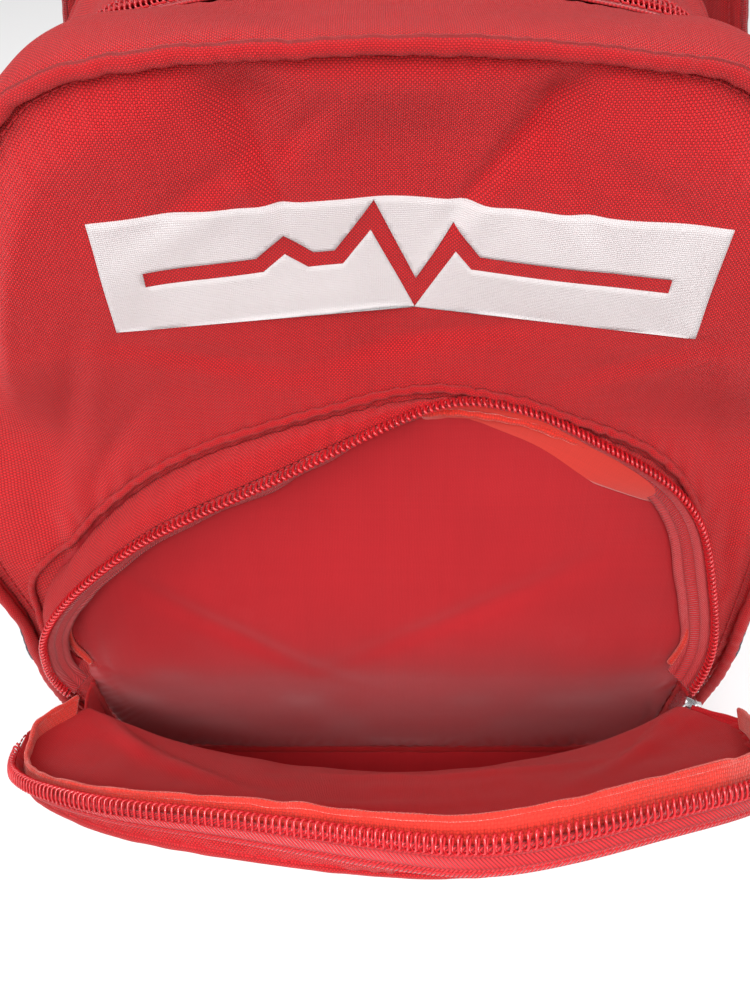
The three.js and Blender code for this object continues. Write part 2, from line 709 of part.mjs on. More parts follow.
for (const side of [-1, 1]) {
  add(`mesh_pocket_${sideName(side)}`, sheet(10, 6, (along, across, layer) =>
    sidePocketPoint(side, along, lerp(20, 111, across), standOff(along, across) + layer)), WEBBING);
  add(`mesh_trim_${sideName(side)}`, sheet(10, 1, (along, across, layer) => {
    const outwards = standOff(along, 1) + lerp(-0.3, 1.9, layer);
    return sidePocketPoint(side, along, lerp(111.6, 121, across), outwards);
  }), ELASTIC);
}

// ---------- grab handle ----------
const HANDLE_WIDTH = 32;
const smoothCurve = (points) => new THREE.CatmullRomCurve3(points, false, "centripetal");

// right leg of the handle from its foot up: [x, y, z]
const HANDLE_LEG = [[56, 0, 349], [56, 4, 378], [54, 8, 408], [39, 9, 437]];
const HANDLE_PATH = smoothCurve([
  ...HANDLE_LEG.map(([x, y, z]) => vec(-x, y, z)),
  vec(0, 9, 452),
  ...HANDLE_LEG.map(([x, y, z]) => vec(x, y, z)).reverse(),
]);

function handleFrame(share) {
  const point = HANDLE_PATH.getPoint(share);
  const direction = HANDLE_PATH.getTangent(share);
  // the webbing lies flat on the back at its feet and turns a quarter towards the top
  const turn = (smooth((point.z - 398) / 36) * Math.PI) / 2;
  const wide = cross(direction, vec(0, 1, 0)).normalize().multiplyScalar(Math.cos(turn));
  wide.addScaledVector(vec(0, point.x < 0 ? 1 : -1, 0), Math.sin(turn));
  return {
    centre: vec(point.x, BACK_Y + 7.4 + point.y * 0.5, point.z),
    wide,
    thin: cross(direction, wide).normalize(),
  };
}
add("grab_handle", flatBar(28, handleFrame, HANDLE_WIDTH / 2, 1.1), WEBBING);

// ---------- shoulder straps ----------
const STRAP_WIDTH = 62;
const ANCHOR_Y = 94;
const UPPER_ANCHOR = { x: 99, z: 330 };
const LOWER_ANCHOR = { x: 129, z: 34 };

const padHalfThickness = (share) => 5.0 * Math.min(1, 0.35 + 4 * Math.min(share, 1 - share));
const padHalfWidth = (share) =>
  (STRAP_WIDTH / 2) * (1 - 0.45 * smooth((share - 0.72) / 0.28))
  * (0.74 + 0.26 * smooth(share / 0.3));

// frame with two side bars and three crossbars
function ladderLock(matrix) {
  return joined([
    block([3.2, 17, 4], [-14.6, 0, 0]),
    block([3.2, 17, 4], [14.6, 0, 0]),
    block([29, 2.4, 3.4], [0, -7.2, 0]),
    block([29, 2.6, 3.4], [0, 1.2, -0.6]),
    block([29, 2.6, 3.4], [0, 7.2, 0.6]),
  ]).applyMatrix4(matrix);
}

// four-cornered fabric tab on the back panel's lower corner
function anchorTab(side) {
  const shape = trace(new THREE.Shape(), [[-4, -26], [26, -14], [26, 22], [-4, 10]]);
  const origin = vec(side * 112, BACK_Y + 3.6, LOWER_ANCHOR.z);
  const matrix = basisAt(origin, vec(side, 0, 0), vec(0, 0, 1), vec(0, -1, 0));
  return finish(extrude(shape, 3).applyMatrix4(matrix));
}

// A strap is a bow between two anchors. swingDegrees turns it about the line between them,
// from straight out to the side towards +Y.
function addStrap(side, swingDegrees) {
  const name = sideName(side);
  const top = vec(side * UPPER_ANCHOR.x, ANCHOR_Y, UPPER_ANCHOR.z);
  const bottom = vec(side * LOWER_ANCHOR.x, ANCHOR_Y, LOWER_ANCHOR.z);
  const height = top.distanceTo(bottom);
  const axis = top.clone().sub(bottom).normalize();
  const sideways = vec(side, 0, 0).addScaledVector(axis, -axis.x * side).normalize();
  const rearward = cross(axis, sideways).normalize();
  if (rearward.y < 0) rearward.negate();
  const swing = THREE.MathUtils.degToRad(swingDegrees);
  const bow = sideways.clone().multiplyScalar(Math.cos(swing))
    .addScaledVector(rearward, Math.sin(swing)).normalize();
  const flat = cross(axis, bow).normalize(); // across the strap's width
  const alongBack = sideways.clone().multiplyScalar(flat.dot(sideways) < 0 ? -1 : 1);

  const onBow = (up, bulge) =>
    bottom.clone().addScaledVector(axis, up).addScaledVector(bow, bulge);

  // twist 1 lays the strap's width along the back
  const frameOn = (curve, share, twist) => {
    const wide = flat.clone().multiplyScalar(1 - twist).addScaledVector(alongBack, twist);
    wide.normalize();
    const thin = cross(curve.getTangent(share), wide).normalize();
    return { centre: curve.getPoint(share), wide, thin };
  };

  // padded part, from the upper anchor down to the adjuster: [below the top anchor, bulge]
  const padStations = [[2, 7], [-22, 22], [-18, 46], [30, 66], [90, 76], [150, 74], [186, 66]];
  const pad = smoothCurve(padStations.map(([down, bulge]) => onBow(height - down, bulge)));
  add(`shoulder_pad_${name}`, sheet(24, 2, (along, across, layer) => {
    const frame = frameOn(pad, along, 1 - smooth(along / 0.45));
    const edgeShare = across === 0.5 ? 1 : 0.55; // thinner at both edges
    const thinOffset = signed(layer) * padHalfThickness(along) * edgeShare;
    return inFrame(frame, signed(across) * padHalfWidth(along), thinOffset);
  }), FABRIC);

  // adjuster between the pad's end and the webbing
  const padEnd = pad.getPoint(1);
  const webTop = onBow(height - 202, 60);
  const down = webTop.clone().sub(padEnd).normalize();
  const through = cross(flat, down).normalize();
  const lockCentre = padEnd.clone().lerp(webTop, 0.5).addScaledVector(down, 1.0);
  add(`ladder_lock_${name}`, ladderLock(basisAt(lockCentre, flat, down, through)), PLASTIC);

  // webbing from the adjuster to the lower anchor
  const web = smoothCurve([webTop, onBow(70, 34), onBow(36, 17), onBow(10, 4)]);
  const webFrame = (along) => frameOn(web, lerp(0.085, 1, along), smooth((along - 0.2) / 0.6));
  add(`strap_webbing_${name}`, flatBar(12, webFrame, WEBBING_WIDTH / 2, 0.8), WEBBING);

  // free tail of the webbing beyond the adjuster
  const tailTop = lockCentre.clone().addScaledVector(down, 9.2).addScaledVector(through, -5.2);
  const tailDown = down.clone().addScaledVector(vec(0, 0, -1), 0.25).normalize();
  const tailThrough = cross(flat, tailDown).normalize();
  add(`webbing_tail_${name}`, sheet(6, 1, (along, across, layer) => {
    const thinOffset = -2.2 + 0.8 * signed(layer) - 3.0 * along * along;
    return tailTop.clone()
      .addScaledVector(tailDown, along * 74)
      .addScaledVector(tailThrough, thinOffset)
      .addScaledVector(flat, signed(across) * (WEBBING_WIDTH / 2));
  }), WEBBING);

  add(`strap_anchor_${name}`, anchorTab(side), FABRIC);
}
addStrap(-1, 62);
addStrap(1, 40);

// yoke: reinforcing band across the back panel where the straps and the handle are sewn in
add("strap_yoke", sheet(8, 4, (along, across, layer) =>
  slump(signed(along) * 100, BACK_Y, lerp(306, 347, across))
    .add(vec(0, 0.7 + layer * 2.2, 0))), FABRIC);

export default root;
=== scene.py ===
"""Trauma backpack, packed and standing, its front pocket zipped open and the flap hanging forward.

The front faces -y, +x is on the right seen from the front, and the base stands near z = 0.
Lengths are in millimetres unless noted; meshes are scaled to metres as they are made.
"""
import math
from functools import cached_property

import bpy
import numpy as np
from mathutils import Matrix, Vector, geometry


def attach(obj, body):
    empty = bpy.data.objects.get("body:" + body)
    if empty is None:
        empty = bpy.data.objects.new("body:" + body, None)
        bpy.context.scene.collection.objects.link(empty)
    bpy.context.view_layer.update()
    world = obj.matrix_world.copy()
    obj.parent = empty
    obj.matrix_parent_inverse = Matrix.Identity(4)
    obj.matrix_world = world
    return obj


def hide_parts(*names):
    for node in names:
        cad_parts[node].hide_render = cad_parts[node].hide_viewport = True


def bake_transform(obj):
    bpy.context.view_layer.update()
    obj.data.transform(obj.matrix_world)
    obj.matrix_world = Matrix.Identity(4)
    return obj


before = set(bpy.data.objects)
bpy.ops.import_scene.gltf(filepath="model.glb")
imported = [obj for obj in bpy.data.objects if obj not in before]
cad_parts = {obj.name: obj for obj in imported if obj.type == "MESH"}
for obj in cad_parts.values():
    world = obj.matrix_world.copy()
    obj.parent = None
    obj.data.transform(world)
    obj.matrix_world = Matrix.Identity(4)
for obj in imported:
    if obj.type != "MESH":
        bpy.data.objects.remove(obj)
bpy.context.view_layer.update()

# ---------------------------------------------------------------- driving dimensions
FRONT_Y, BACK_Y = -70.0, 75.0
SAG, SAG_Z, SAG_H = 0.29, 275.0, 175.0     # share gained in depth, where it starts, over what height
BACK_DROP, ZIP_END_Z = 12.0, 126.0
TOP_R, TOP_Z = 375.0, 400.0                # arc over the top of the shell
POCKET_W, POCKET_Z0, POCKET_CORNER = 151.0, 15.0, 46.0   # half width, bottom, corner radius
HINGE_Y, HINGE_Z, FLAP_OPEN = -135.0, 112.0, 61.0        # fold of the flap, its turn in degrees
RIM_TOP_Z, RIM_TOP_Y = 264.0, -80.0

# Shell outline seen from the front, (x, z) from the base's middle up the right side
SIDE_OUTLINE = [
    (0, 0), (60, 0), (112, 0), (130, 2.5), (144, 9), (153, 20), (157.5, 36), (160, 60),
    (162.5, 90), (164.5, 125), (165.3, 160), (165, 195), (163.8, 230), (161.5, 262),
    (158, 292), (152.5, 318), (145, 339), (136, 356), (126, 369.5), (113, 380)]
TOP_OUTLINE = [(x, TOP_Z - TOP_R + math.sqrt(TOP_R * TOP_R - x * x))
               for x in (97, 80, 62, 42, 21, 0)]


# ---------------------------------------------------------------- curves and noise
def smooth(value):
    value = np.clip(value, 0.0, 1.0)
    return value * value * (3 - 2 * value)


def lerp(start, end, share):
    return start + (end - start) * share


def unit(vectors):
    return vectors / np.maximum(np.linalg.norm(vectors, axis=-1, keepdims=True), 1e-9)


def near(distance, width):
    """Bell curve: 1 at no distance, fading over the width."""
    return np.exp(-(distance / width) ** 2)


def signed_power(value, power):
    return np.sign(value) * np.abs(value) ** power


def hashed(column, row, seed):
    mixed = (column.astype(np.int64) * 374761393 + row.astype(np.int64) * 668265263
             + seed * 1446651) & 0xFFFFFFFF
    mixed = ((mixed ^ (mixed >> 13)) * 1274126177) & 0xFFFFFFFF
    return ((mixed ^ (mixed >> 16)) & 0xFFFF) / 32767.5 - 1.0


def fade(value):
    return value * value * value * (value * (value * 6 - 15) + 10)


def noise(x, y, seed):
    """Smooth value noise from -1 to 1."""
    x, y = np.broadcast_arrays(np.asarray(x, float), np.asarray(y, float))
    column, row = np.floor(x), np.floor(y)
    share_x, share_y = fade(x - column), fade(y - row)
    low = lerp(hashed(column, row, seed), hashed(column + 1, row, seed), share_x)
    high = lerp(hashed(column, row + 1, seed), hashed(column + 1, row + 1, seed), share_x)
    return lerp(low, high, share_y)


def gauss(x, y, mid_x, mid_y, size_x, size_y, turn=0.0):
    """Oval dimple, turned by an angle in radians."""
    cos, sin = math.cos(turn), math.sin(turn)
    along, across = (x - mid_x) * cos + (y - mid_y) * sin, -(x - mid_x) * sin + (y - mid_y) * cos
    return np.exp(-((along / size_x) ** 2) - ((across / size_y) ** 2))


def path_length(points):
    """Length along a polyline at each of its points."""
    steps = np.linalg.norm(np.diff(points, axis=0), axis=1)
    return np.concatenate([[0], np.cumsum(steps)])


def at_lengths(wanted, lengths, points):
    return np.stack([np.interp(wanted, lengths, column) for column in points.T], 1)


def end_crowded(count):
    """Steps from -1 to 1 that crowd towards both ends."""
    return np.sin(np.linspace(-np.pi / 2, np.pi / 2, count))


def rows(steps, row):
    """Grid of points whose columns are row(step)."""
    return np.stack([row(step) for step in steps], 1)


def resample(points, step, soften):
    """Evenly spaced, softened points along a polyline, and the length at each."""
    points = np.array(points, float)
    lengths = path_length(points)
    even = at_lengths(np.arange(0, lengths[-1], step), lengths, points)
    even = np.vstack([even, points[-1]])
    window = np.hanning(2 * soften + 3)[1:-1]
    window /= window.sum()
    pad = len(window) // 2
    padded = np.vstack([2 * even[0] - even[pad:0:-1], even,
                        2 * even[-1] - even[-2:-pad - 2:-1]])
    even = np.stack([np.convolve(column, window, "valid") for column in padded.T], 1)
    return even, path_length(even)


# ---------------------------------------------------------------- outline of the shell
OUTLINE, OUTLINE_S = resample(SIDE_OUTLINE + TOP_OUTLINE, step=1.0, soften=7)
HALF_ROUND = OUTLINE_S[-1]     # length of half the outline
# the main zip runs this far to each side of the top centre
ZIP_REACH = HALF_ROUND - OUTLINE_S[np.argmax(OUTLINE[:, 1] >= ZIP_END_Z)]


def outline(dist):
    """x, z and outward normal at a signed distance from the top centre (right is positive)."""
    dist = np.asarray(dist, float)
    at = HALF_ROUND - np.minimum(np.abs(dist), HALF_ROUND)

    def point(length):
        return (np.interp(length, OUTLINE_S, OUTLINE[:, 0]),
                np.interp(length, OUTLINE_S, OUTLINE[:, 1]))

    x, z = point(at)
    low_x, low_z = point(np.clip(at - 3, 0, HALF_ROUND))
    high_x, high_z = point(np.clip(at + 3, 0, HALF_ROUND))
    run_x, run_z = high_x - low_x, high_z - low_z
    run = np.hypot(run_x, run_z)
    side = np.where(dist < 0, -1.0, 1.0)
    return side * x, z, side * run_z / run, -run_x / run


def slump(x, y, z):
    """Where a point of the flat pattern lies once the bag is loaded.

    Low down it is deeper and wider; its top front edge stands up and its back is lower.
    """
    x, y, z = np.broadcast_arrays(*(np.asarray(value, float) for value in (x, y, z)))
    far = np.abs(x)
    drop = BACK_DROP * np.clip((y - FRONT_Y) / (BACK_Y - FRONT_Y), 0, 1) * smooth((z - 100) / 270)
    forward = 1 - smooth((y + 25) / 95)
    belly = smooth((318 - z) / 120) * smooth((z - 4) / 70)
    front = 1 - smooth((y - FRONT_Y) / 34)
    low = smooth((186 - z) / 48)
    left = 23.0 * (1 - 0.62 * front * low)
    right = 8.0 * (1 - 0.4 * front * low) + 12.0 * (1 - front) * low
    wide = np.where(x < 0, left, right) * smooth((far - 138) / 28) * belly * forward
    edge = 1 - smooth((y - FRONT_Y - 8) / 58)
    raised = smooth((z - 318) / 70) * (7.0 + 7.0 * np.clip((far - 30) / 105, 0, 1.1)) * edge
    crest = np.where(x < 0, 7.0, 8.0) * np.sin(np.pi * np.clip((y - FRONT_Y) / 60, 0, 1))
    shoulder = (np.where(x < 0, 22.0, 17.0) * smooth((far - 100) / 45) * (1 - edge)
                * (1 - smooth((y - 30) / 40)))
    raised = raised + smooth((z - 318) / 60) * smooth((far - 40) / 80) * (crest - shoulder)
    deeper = 1 + SAG * smooth((SAG_Z - z) / SAG_H)
    return np.stack([x + np.sign(x) * wide, BACK_Y + (y - BACK_Y) * deeper, z - drop + raised], -1)


# ---------------------------------------------------------------- mouth of the front pocket
# The mouth lies in a leaning plane: x, and a height up the plane from its foot.
MOUTH_FOOT = np.array([0, HINGE_Y + 5, HINGE_Z])
MOUTH_UP = np.array([0, RIM_TOP_Y, RIM_TOP_Z]) - MOUTH_FOOT
MOUTH_H = float(np.linalg.norm(MOUTH_UP))
MOUTH_UP = MOUTH_UP / MOUTH_H
MOUTH_IN = np.array([0, MOUTH_UP[2], -MOUTH_UP[1]])    # normal of the plane, towards the back
# Each half is a corner arc that meets a large top arc
CORNER_R, CORNER_X, CORNER_UP, FOOT_ANGLE = 105.0, 52.0, 45.0, -0.41
ABOVE = MOUTH_H - CORNER_UP
TOP_ARC_R = (CORNER_X ** 2 + ABOVE ** 2 - CORNER_R ** 2) / (2 * (ABOVE - CORNER_R))
TOP_ARC_UP = MOUTH_H - TOP_ARC_R
MEET_ANGLE = math.atan2(CORNER_UP - TOP_ARC_UP, CORNER_X)
CORNER_L = CORNER_R * (MEET_ANGLE - FOOT_ANGLE)
MOUTH_L = 2 * (CORNER_L + TOP_ARC_R * (math.pi / 2 - MEET_ANGLE))
SEAM_IN, SEAM_LIFT = 5.5, 2.5      # seam of the pocket, inside the mouth's outline and above it

# Positions round the mouth run from 0 at its right foot to 1 at its left foot
POS = np.linspace(0, 1, 421)
ROUND = POS * MOUTH_L
ROUND_COL = ROUND[:, None]


def eased(table):
    """Softened curve through (mouth position, value) stations, as a function of position."""
    stations = np.array(table, float)
    fine = np.linspace(0, 1, 401)
    window = np.hanning(43)
    window /= window.sum()
    values = np.pad(np.interp(fine, stations[:, 0], stations[:, 1]), 21, "edge")
    softened = np.convolve(values, window, "valid")
    return lambda pos: np.interp(pos, fine, softened)


# how far the outline and the rim hang below the drawn arcs
outline_hang = eased([
    (0, 0), (0.22, 3), (0.32, 4), (0.39, -1), (0.45, -2), (0.5, 3), (0.57, 10), (0.65, 15),
    (0.75, 21), (0.82, 18), (0.9, 8), (0.96, 2), (1, 0)])
rim_hang = eased([
    (0, 0), (0.2, 0), (0.3, 1), (0.38, -2), (0.45, -2), (0.5, 4), (0.56, 11), (0.62, 15),
    (0.7, 15), (0.8, 12), (0.88, 8), (0.94, 3), (1, 0)])
# how far each soft rim stands out of the mouth's plane
body_forward = eased([
    (0, 1), (0.1, 2), (0.25, 2), (0.38, -1), (0.46, 0), (0.5, 4), (0.58, 11), (0.66, 15),
    (0.76, 18), (0.88, 15), (0.95, 8), (1, 2)])
flap_forward = eased([
    (0, 0), (0.12, 2), (0.3, 1), (0.5, 1), (0.62, 5), (0.72, 9), (0.8, 12), (0.88, 14),
    (0.95, 8), (1, 1)])


def mouth(pos, out=0.0):
    """x and height up the plane at a mouth position, moved outwards."""
    pos, out = np.broadcast_arrays(np.asarray(pos, float), np.asarray(out, float))
    left = pos > 0.5
    dist = np.where(left, 1 - pos, pos) * MOUTH_L
    corner, top = FOOT_ANGLE + dist / CORNER_R, MEET_ANGLE + (dist - CORNER_L) / TOP_ARC_R
    first = dist < CORNER_L
    x = np.where(first, CORNER_X + (CORNER_R + out) * np.cos(corner),
                 (TOP_ARC_R + out) * np.cos(top))
    up = np.where(first, CORNER_UP + (CORNER_R + out) * np.sin(corner),
                  TOP_ARC_UP + (TOP_ARC_R + out) * np.sin(top))
    # the right side is drawn in, the left foot stands out
    x = x - 9.0 * near(pos - 0.135, 0.085) + 5.0 * smooth((pos - 0.9) / 0.09)
    return np.where(left, -x, x), up - outline_hang(pos)


def on_mouth(x, up, depth=0.0):
    x, up, depth = np.broadcast_arrays(x, up, depth)
    points = np.zeros(x.shape + (3,))
    points[..., 0] = x
    points += MOUTH_FOOT + up[..., None] * MOUTH_UP + depth[..., None] * MOUTH_IN
    return points


def rim(pos, depth, out, forward):
    x, up = mouth(pos, out)
    return on_mouth(x, up - rim_hang(pos), np.asarray(depth) - forward(pos))


def body_rim(pos, depth, out=0.0):
    return rim(pos, depth, out, body_forward)


def turned(points):
    """Opens the flap: a little less on its right; its left end leans outwards."""
    x = points[..., 0]
    angle = np.radians(FLAP_OPEN - 1.4 - 3.2 * smooth((x + 20) / 170))
    y, z = points[..., 1] - HINGE_Y, points[..., 2] - HINGE_Z
    lean = 12.5 * smooth((x - 50) / 80) - 8.5 * smooth((-x - 55) / 85)
    return np.stack([x + lean * smooth((z - 2) / 26),
                     HINGE_Y + y * np.cos(angle) - z * np.sin(angle),
                     HINGE_Z + y * np.sin(angle) + z * np.cos(angle)], -1)


def flap_rim(pos, depth, out=0.0):
    return turned(rim(pos, depth, out, flap_forward))


# ---------------------------------------------------------------- soft front panel
# x, z, length, width, turn in radians, depth
CREASES = [
    (36, 360, 30, 3.4, 0.95, 3.4), (60, 352, 20, 4.0, -1.0, 1.6), (-30, 366, 16, 3.2, 0.9, 1.6),
    (-44, 358, 22, 3.4, -1.15, 2.4), (-64, 350, 26, 4.4, 0.5, 1.8), (78, 355, 22, 4.5, 2.7, 1.3),
    (12, 286, 44, 5.0, 0.25, 1.5), (-70, 283, 36, 5.0, -0.3, 1.4), (96, 286, 32, 5, 0.5, 1.3),
    (-128, 260, 34, 5.5, 1.25, 2.2), (-118, 232, 26, 4.5, 1.0, 1.6), (130, 250, 40, 6, 1.85, 1.8),
    (-146, 200, 34, 5, 1.45, 2.2), (147, 205, 34, 5, 1.7, 2.0)]
# how far the pocket's outline on the panel is let down, (x, mm)
POCKET_LET_DOWN = np.array([(-160, 0), (-150, 7), (-125, 17), (-95, 20), (-60, 15), (-30, 9),
                            (0, 4), (30, -2), (60, -1), (90, 3)], float)


def loose_relief(x, z):
    """How far the panel outside the pocket stands back (+) or forward (-) of its flat place."""
    band = smooth((z - 236) / 58) * smooth((398 - z) / 40)
    back = band * (11.0 - 21.5 * (np.sqrt(x * x + 15 ** 2) - 15) / 106)
    back += 8.0 * gauss(x, z, -48, 380, 11, 22, 0.35) + 8.0 * gauss(x, z, 50, 377, 9, 24, -0.45)
    back -= (3.6 * gauss(x, z, 2, 384, 26, 18) + 3.4 * gauss(x, z, -90, 372, 24, 20)
             + 3.0 * gauss(x, z, 96, 370, 24, 22))
    for mid_x, mid_z, length, width, turn, depth in CREASES:
        back += depth * gauss(x, z, mid_x, mid_z, length, width, turn)
        back -= 0.55 * depth * gauss(x, z, mid_x + 7 * math.sin(turn), mid_z - 7 * math.cos(turn),
                                     length * 0.9, width * 1.4, turn)
    back += 1.5 * noise(x / 55 + 3, z / 48, 5) + 0.55 * noise(x / 19, z / 23, 8)
    back -= 3.0 * smooth((z - 120) / 60) * smooth((300 - z) / 40) * (1 - (x / 165) ** 2)
    return back


def pocket_distance(x, z):
    """Distance from the pocket's outline on the panel: negative inside."""
    up = (z - HINGE_Z - SEAM_LIFT) / MOUTH_UP[2]
    up = up + np.interp(x, POCKET_LET_DOWN[:, 0], POCKET_LET_DOWN[:, 1])
    far = np.abs(x)
    angle = np.arctan2(up - CORNER_UP, far - CORNER_X)
    to_corner = np.hypot(far - CORNER_X, up - CORNER_UP) - (CORNER_R - SEAM_IN)
    to_top = np.hypot(far, up - TOP_ARC_UP) - (TOP_ARC_R - SEAM_IN)
    dist = np.where((angle < MEET_ANGLE) | (far > CORNER_X + 10), to_corner, to_top)
    return np.where(up < 5, np.maximum(far - 149.0, POCKET_Z0 - z), dist)


def panel_relief(x, z):
    """Relief of the whole panel: calm inside the pocket, puckered just round it."""
    dist = pocket_distance(x, z)
    inside = smooth((6.0 - dist) / 22.0)
    wall = (1.2 * noise(x / 60 + 9, z / 50, 12) + 0.5 * noise(x / 22, z / 30, 13)
            + 1.2 * gauss(x, z, 40, 150, 60, 6, 0.5) + 1.5 * gauss(x, z, -80, 140, 55, 6, -0.6))
    pucker = (0.55 * near(np.maximum(dist, 0), 9.0)
              * np.sin(x * 0.72 + 2.2 * noise(x / 14, z / 14, 17)) * (1 - inside))
    return loose_relief(x, z) * (1 - inside) + wall * inside + pucker


def panel_point(x, z):
    x, z = np.broadcast_arrays(np.asarray(x, float), np.asarray(z, float))
    points = slump(x, FRONT_Y, z)
    points[..., 1] += panel_relief(x, z)
    return points


def mouth_on_panel(pos, out, lift, forward):
    """The mouth's outline laid on the front panel."""
    x, up = mouth(pos, out)
    points = panel_point(x, HINGE_Z + MOUTH_UP[2] * up + lift)
    points[..., 1] -= forward
    return points


# ---------------------------------------------------------------- mesh builders
MATS = {}


def link(name, data):
    obj = bpy.data.objects.new(name, data)
    bpy.context.scene.collection.objects.link(obj)
    return obj


def paint_faces(mesh, index):
    """Sets material indices, unless validation has removed faces."""
    if len(mesh.polygons) == len(index):
        mesh.polygons.foreach_set("material_index", np.asarray(index, np.int32))


def new_mesh(name, verts, uv, mats, quads, tris=None, mat_index=None):
    quads = np.asarray(quads, np.int32)
    tris = np.zeros((0, 3), np.int32) if tris is None else np.asarray(tris, np.int32)
    loops = np.concatenate([quads.ravel(), tris.ravel()])
    totals = np.concatenate([np.full(len(quads), 4), np.full(len(tris), 3)]).astype(np.int32)
    mesh = bpy.data.meshes.new(name)
    mesh.vertices.add(len(verts))
    mesh.vertices.foreach_set("co", (np.asarray(verts, np.float32) * 0.001).ravel())
    mesh.loops.add(len(loops))
    mesh.loops.foreach_set("vertex_index", loops)
    mesh.polygons.add(len(totals))
    mesh.polygons.foreach_set("loop_start", (np.cumsum(totals) - totals).astype(np.int32))
    mesh.polygons.foreach_set("loop_total", totals)
    layer = mesh.uv_layers.new(name="UVMap")
    layer.data.foreach_set("uv", np.asarray(uv, np.float32)[loops].ravel())
    mesh.update(calc_edges=True)
    mesh.validate()
    for mat in mats if isinstance(mats, tuple) else (mats,):
        mesh.materials.append(MATS[mat])
    if mat_index is not None:
        paint_faces(mesh, mat_index)
    mesh.polygons.foreach_set("use_smooth", np.ones(len(mesh.polygons), bool))
    return link(name, mesh)


def grid_normals(face):
    return unit(np.cross(np.gradient(face, axis=0), np.gradient(face, axis=1)))


def looks_away(face, facing):
    return (grid_normals(face) * facing).sum(-1).mean() < 0


def uv_of(along, across):
    return np.stack(np.broadcast_arrays(along, across), -1)


def grid_uv(face):
    """UV in millimetres from the mean spacing of the grid."""
    along = np.linalg.norm(np.diff(face, axis=0), axis=-1).mean(1)
    across = np.linalg.norm(np.diff(face, axis=1), axis=-1).mean(0)
    return uv_of(np.concatenate([[0], np.cumsum(along)])[:, None],
                 np.concatenate([[0], np.cumsum(across)]))


def cell_quads(one, two, three, four):
    return np.stack([one, two, three, four], -1).reshape(-1, 4)


def disc(name, face, thick, mats, uv, facing, middle=0):
    """Closed thin shell over rings: face[i, j] is ring j at angle i.

    The first and last angle are the same place and ring 0 is small, round the middle,
    which takes the material index given as middle.
    """
    flip = looks_away(face, facing)
    normals = grid_normals(np.concatenate([face[-2:-1], face, face[1:2]], 0))[1:-1]
    normals[0] = normals[-1] = unit(normals[0] + normals[-1])
    normals[:, 0] = normals[:, 1]
    if flip:
        normals = -normals
    face, normals, uv = face[:-1], normals[:-1], uv[:-1]
    inner = face - normals * thick
    verts = np.concatenate([face.reshape(-1, 3), inner.reshape(-1, 3),
                            [face[:, 0].mean(0), inner[:, 0].mean(0)]])
    uvs = np.concatenate([uv.reshape(-1, 2)] * 2 + [[uv[:, 0].mean(0)] * 2])
    angles, count = face.shape[0], face.shape[0] * face.shape[1]
    index = np.arange(count).reshape(face.shape[:2])
    ahead = np.roll(index, -1, 0)
    outer = cell_quads(index[:, :-1], ahead[:, :-1], ahead[:, 1:], index[:, 1:])
    side = cell_quads(index[:, -1], ahead[:, -1], ahead[:, -1] + count, index[:, -1] + count)
    quads = np.concatenate([outer, outer[:, ::-1] + count, side])
    fan = np.stack([ahead[:, 0], index[:, 0], np.full(angles, 2 * count)], 1)
    fan_in = np.stack([index[:, 0] + count, ahead[:, 0] + count,
                       np.full(angles, 2 * count + 1)], 1)
    tris = np.concatenate([fan, fan_in])
    if flip:
        quads, tris = quads[:, ::-1], tris[:, ::-1]
    obj = new_mesh(name, verts, uvs, mats, quads, tris)
    if isinstance(mats, tuple):
        paint_faces(obj.data, np.repeat([0, 1, 0, middle, 1],
                                        [len(outer), len(outer), len(side), angles, angles]))
    return obj


def sheet(name, face, thick, mats, facing, uv=None):
    """Closed thin shell: face is the side that looks along facing, the other lies behind it.

    mats is (outer, inner) or one name.
    """
    flip = looks_away(face, facing)
    normals = grid_normals(face) * (-1.0 if flip else 1.0)
    uv = grid_uv(face) if uv is None else uv
    verts = np.concatenate([face.reshape(-1, 3), (face - normals * thick).reshape(-1, 3)])
    count = face.shape[0] * face.shape[1]
    index = np.arange(count).reshape(face.shape[:2])
    outer = cell_quads(index[:-1, :-1], index[1:, :-1], index[1:, 1:], index[:-1, 1:])
    border = np.concatenate([index[:-1, 0], index[-1, :-1], index[:0:-1, -1], index[0, :0:-1]])
    ahead = np.roll(border, -1)
    side = cell_quads(ahead, border, border + count, ahead + count)
    quads = np.concatenate([outer, outer[:, ::-1] + count, side])
    if flip:
        quads = quads[:, ::-1]
    mat_index = np.repeat([0, int(isinstance(mats, tuple)), 0],
                          [len(outer), len(outer), len(side)])
    return new_mesh(name, verts, np.concatenate([uv.reshape(-1, 2)] * 2), mats, quads,
                    mat_index=mat_index)


def loft(name, rings, uv, mat, ends=None, end_uv=None, flip=False):
    """Skin over rings of points, capped at both ends, or closed into a loop without ends."""
    count, sides = rings.shape[:2]
    index = np.arange(count * sides).reshape(count, sides)
    here, ahead = (index, np.roll(index, -1, 0)) if ends is None else (index[:-1], index[1:])
    quads = cell_quads(here, np.roll(here, -1, 1), np.roll(ahead, -1, 1), ahead)
    verts, uv = rings.reshape(-1, 3), uv.reshape(-1, 2)
    if ends is None:
        return new_mesh(name, verts, uv, mat, quads)
    first, last, tip = index[0], index[-1], np.full(sides, count * sides)
    tris = np.concatenate([np.stack([np.roll(first, -1), first, tip], 1),
                           np.stack([last, np.roll(last, -1), tip + 1], 1)])
    if flip:
        quads, tris = quads[:, ::-1], tris[:, ::-1]
    return new_mesh(name, np.vstack([verts, ends]), np.vstack([uv, end_uv]), mat, quads, tris)


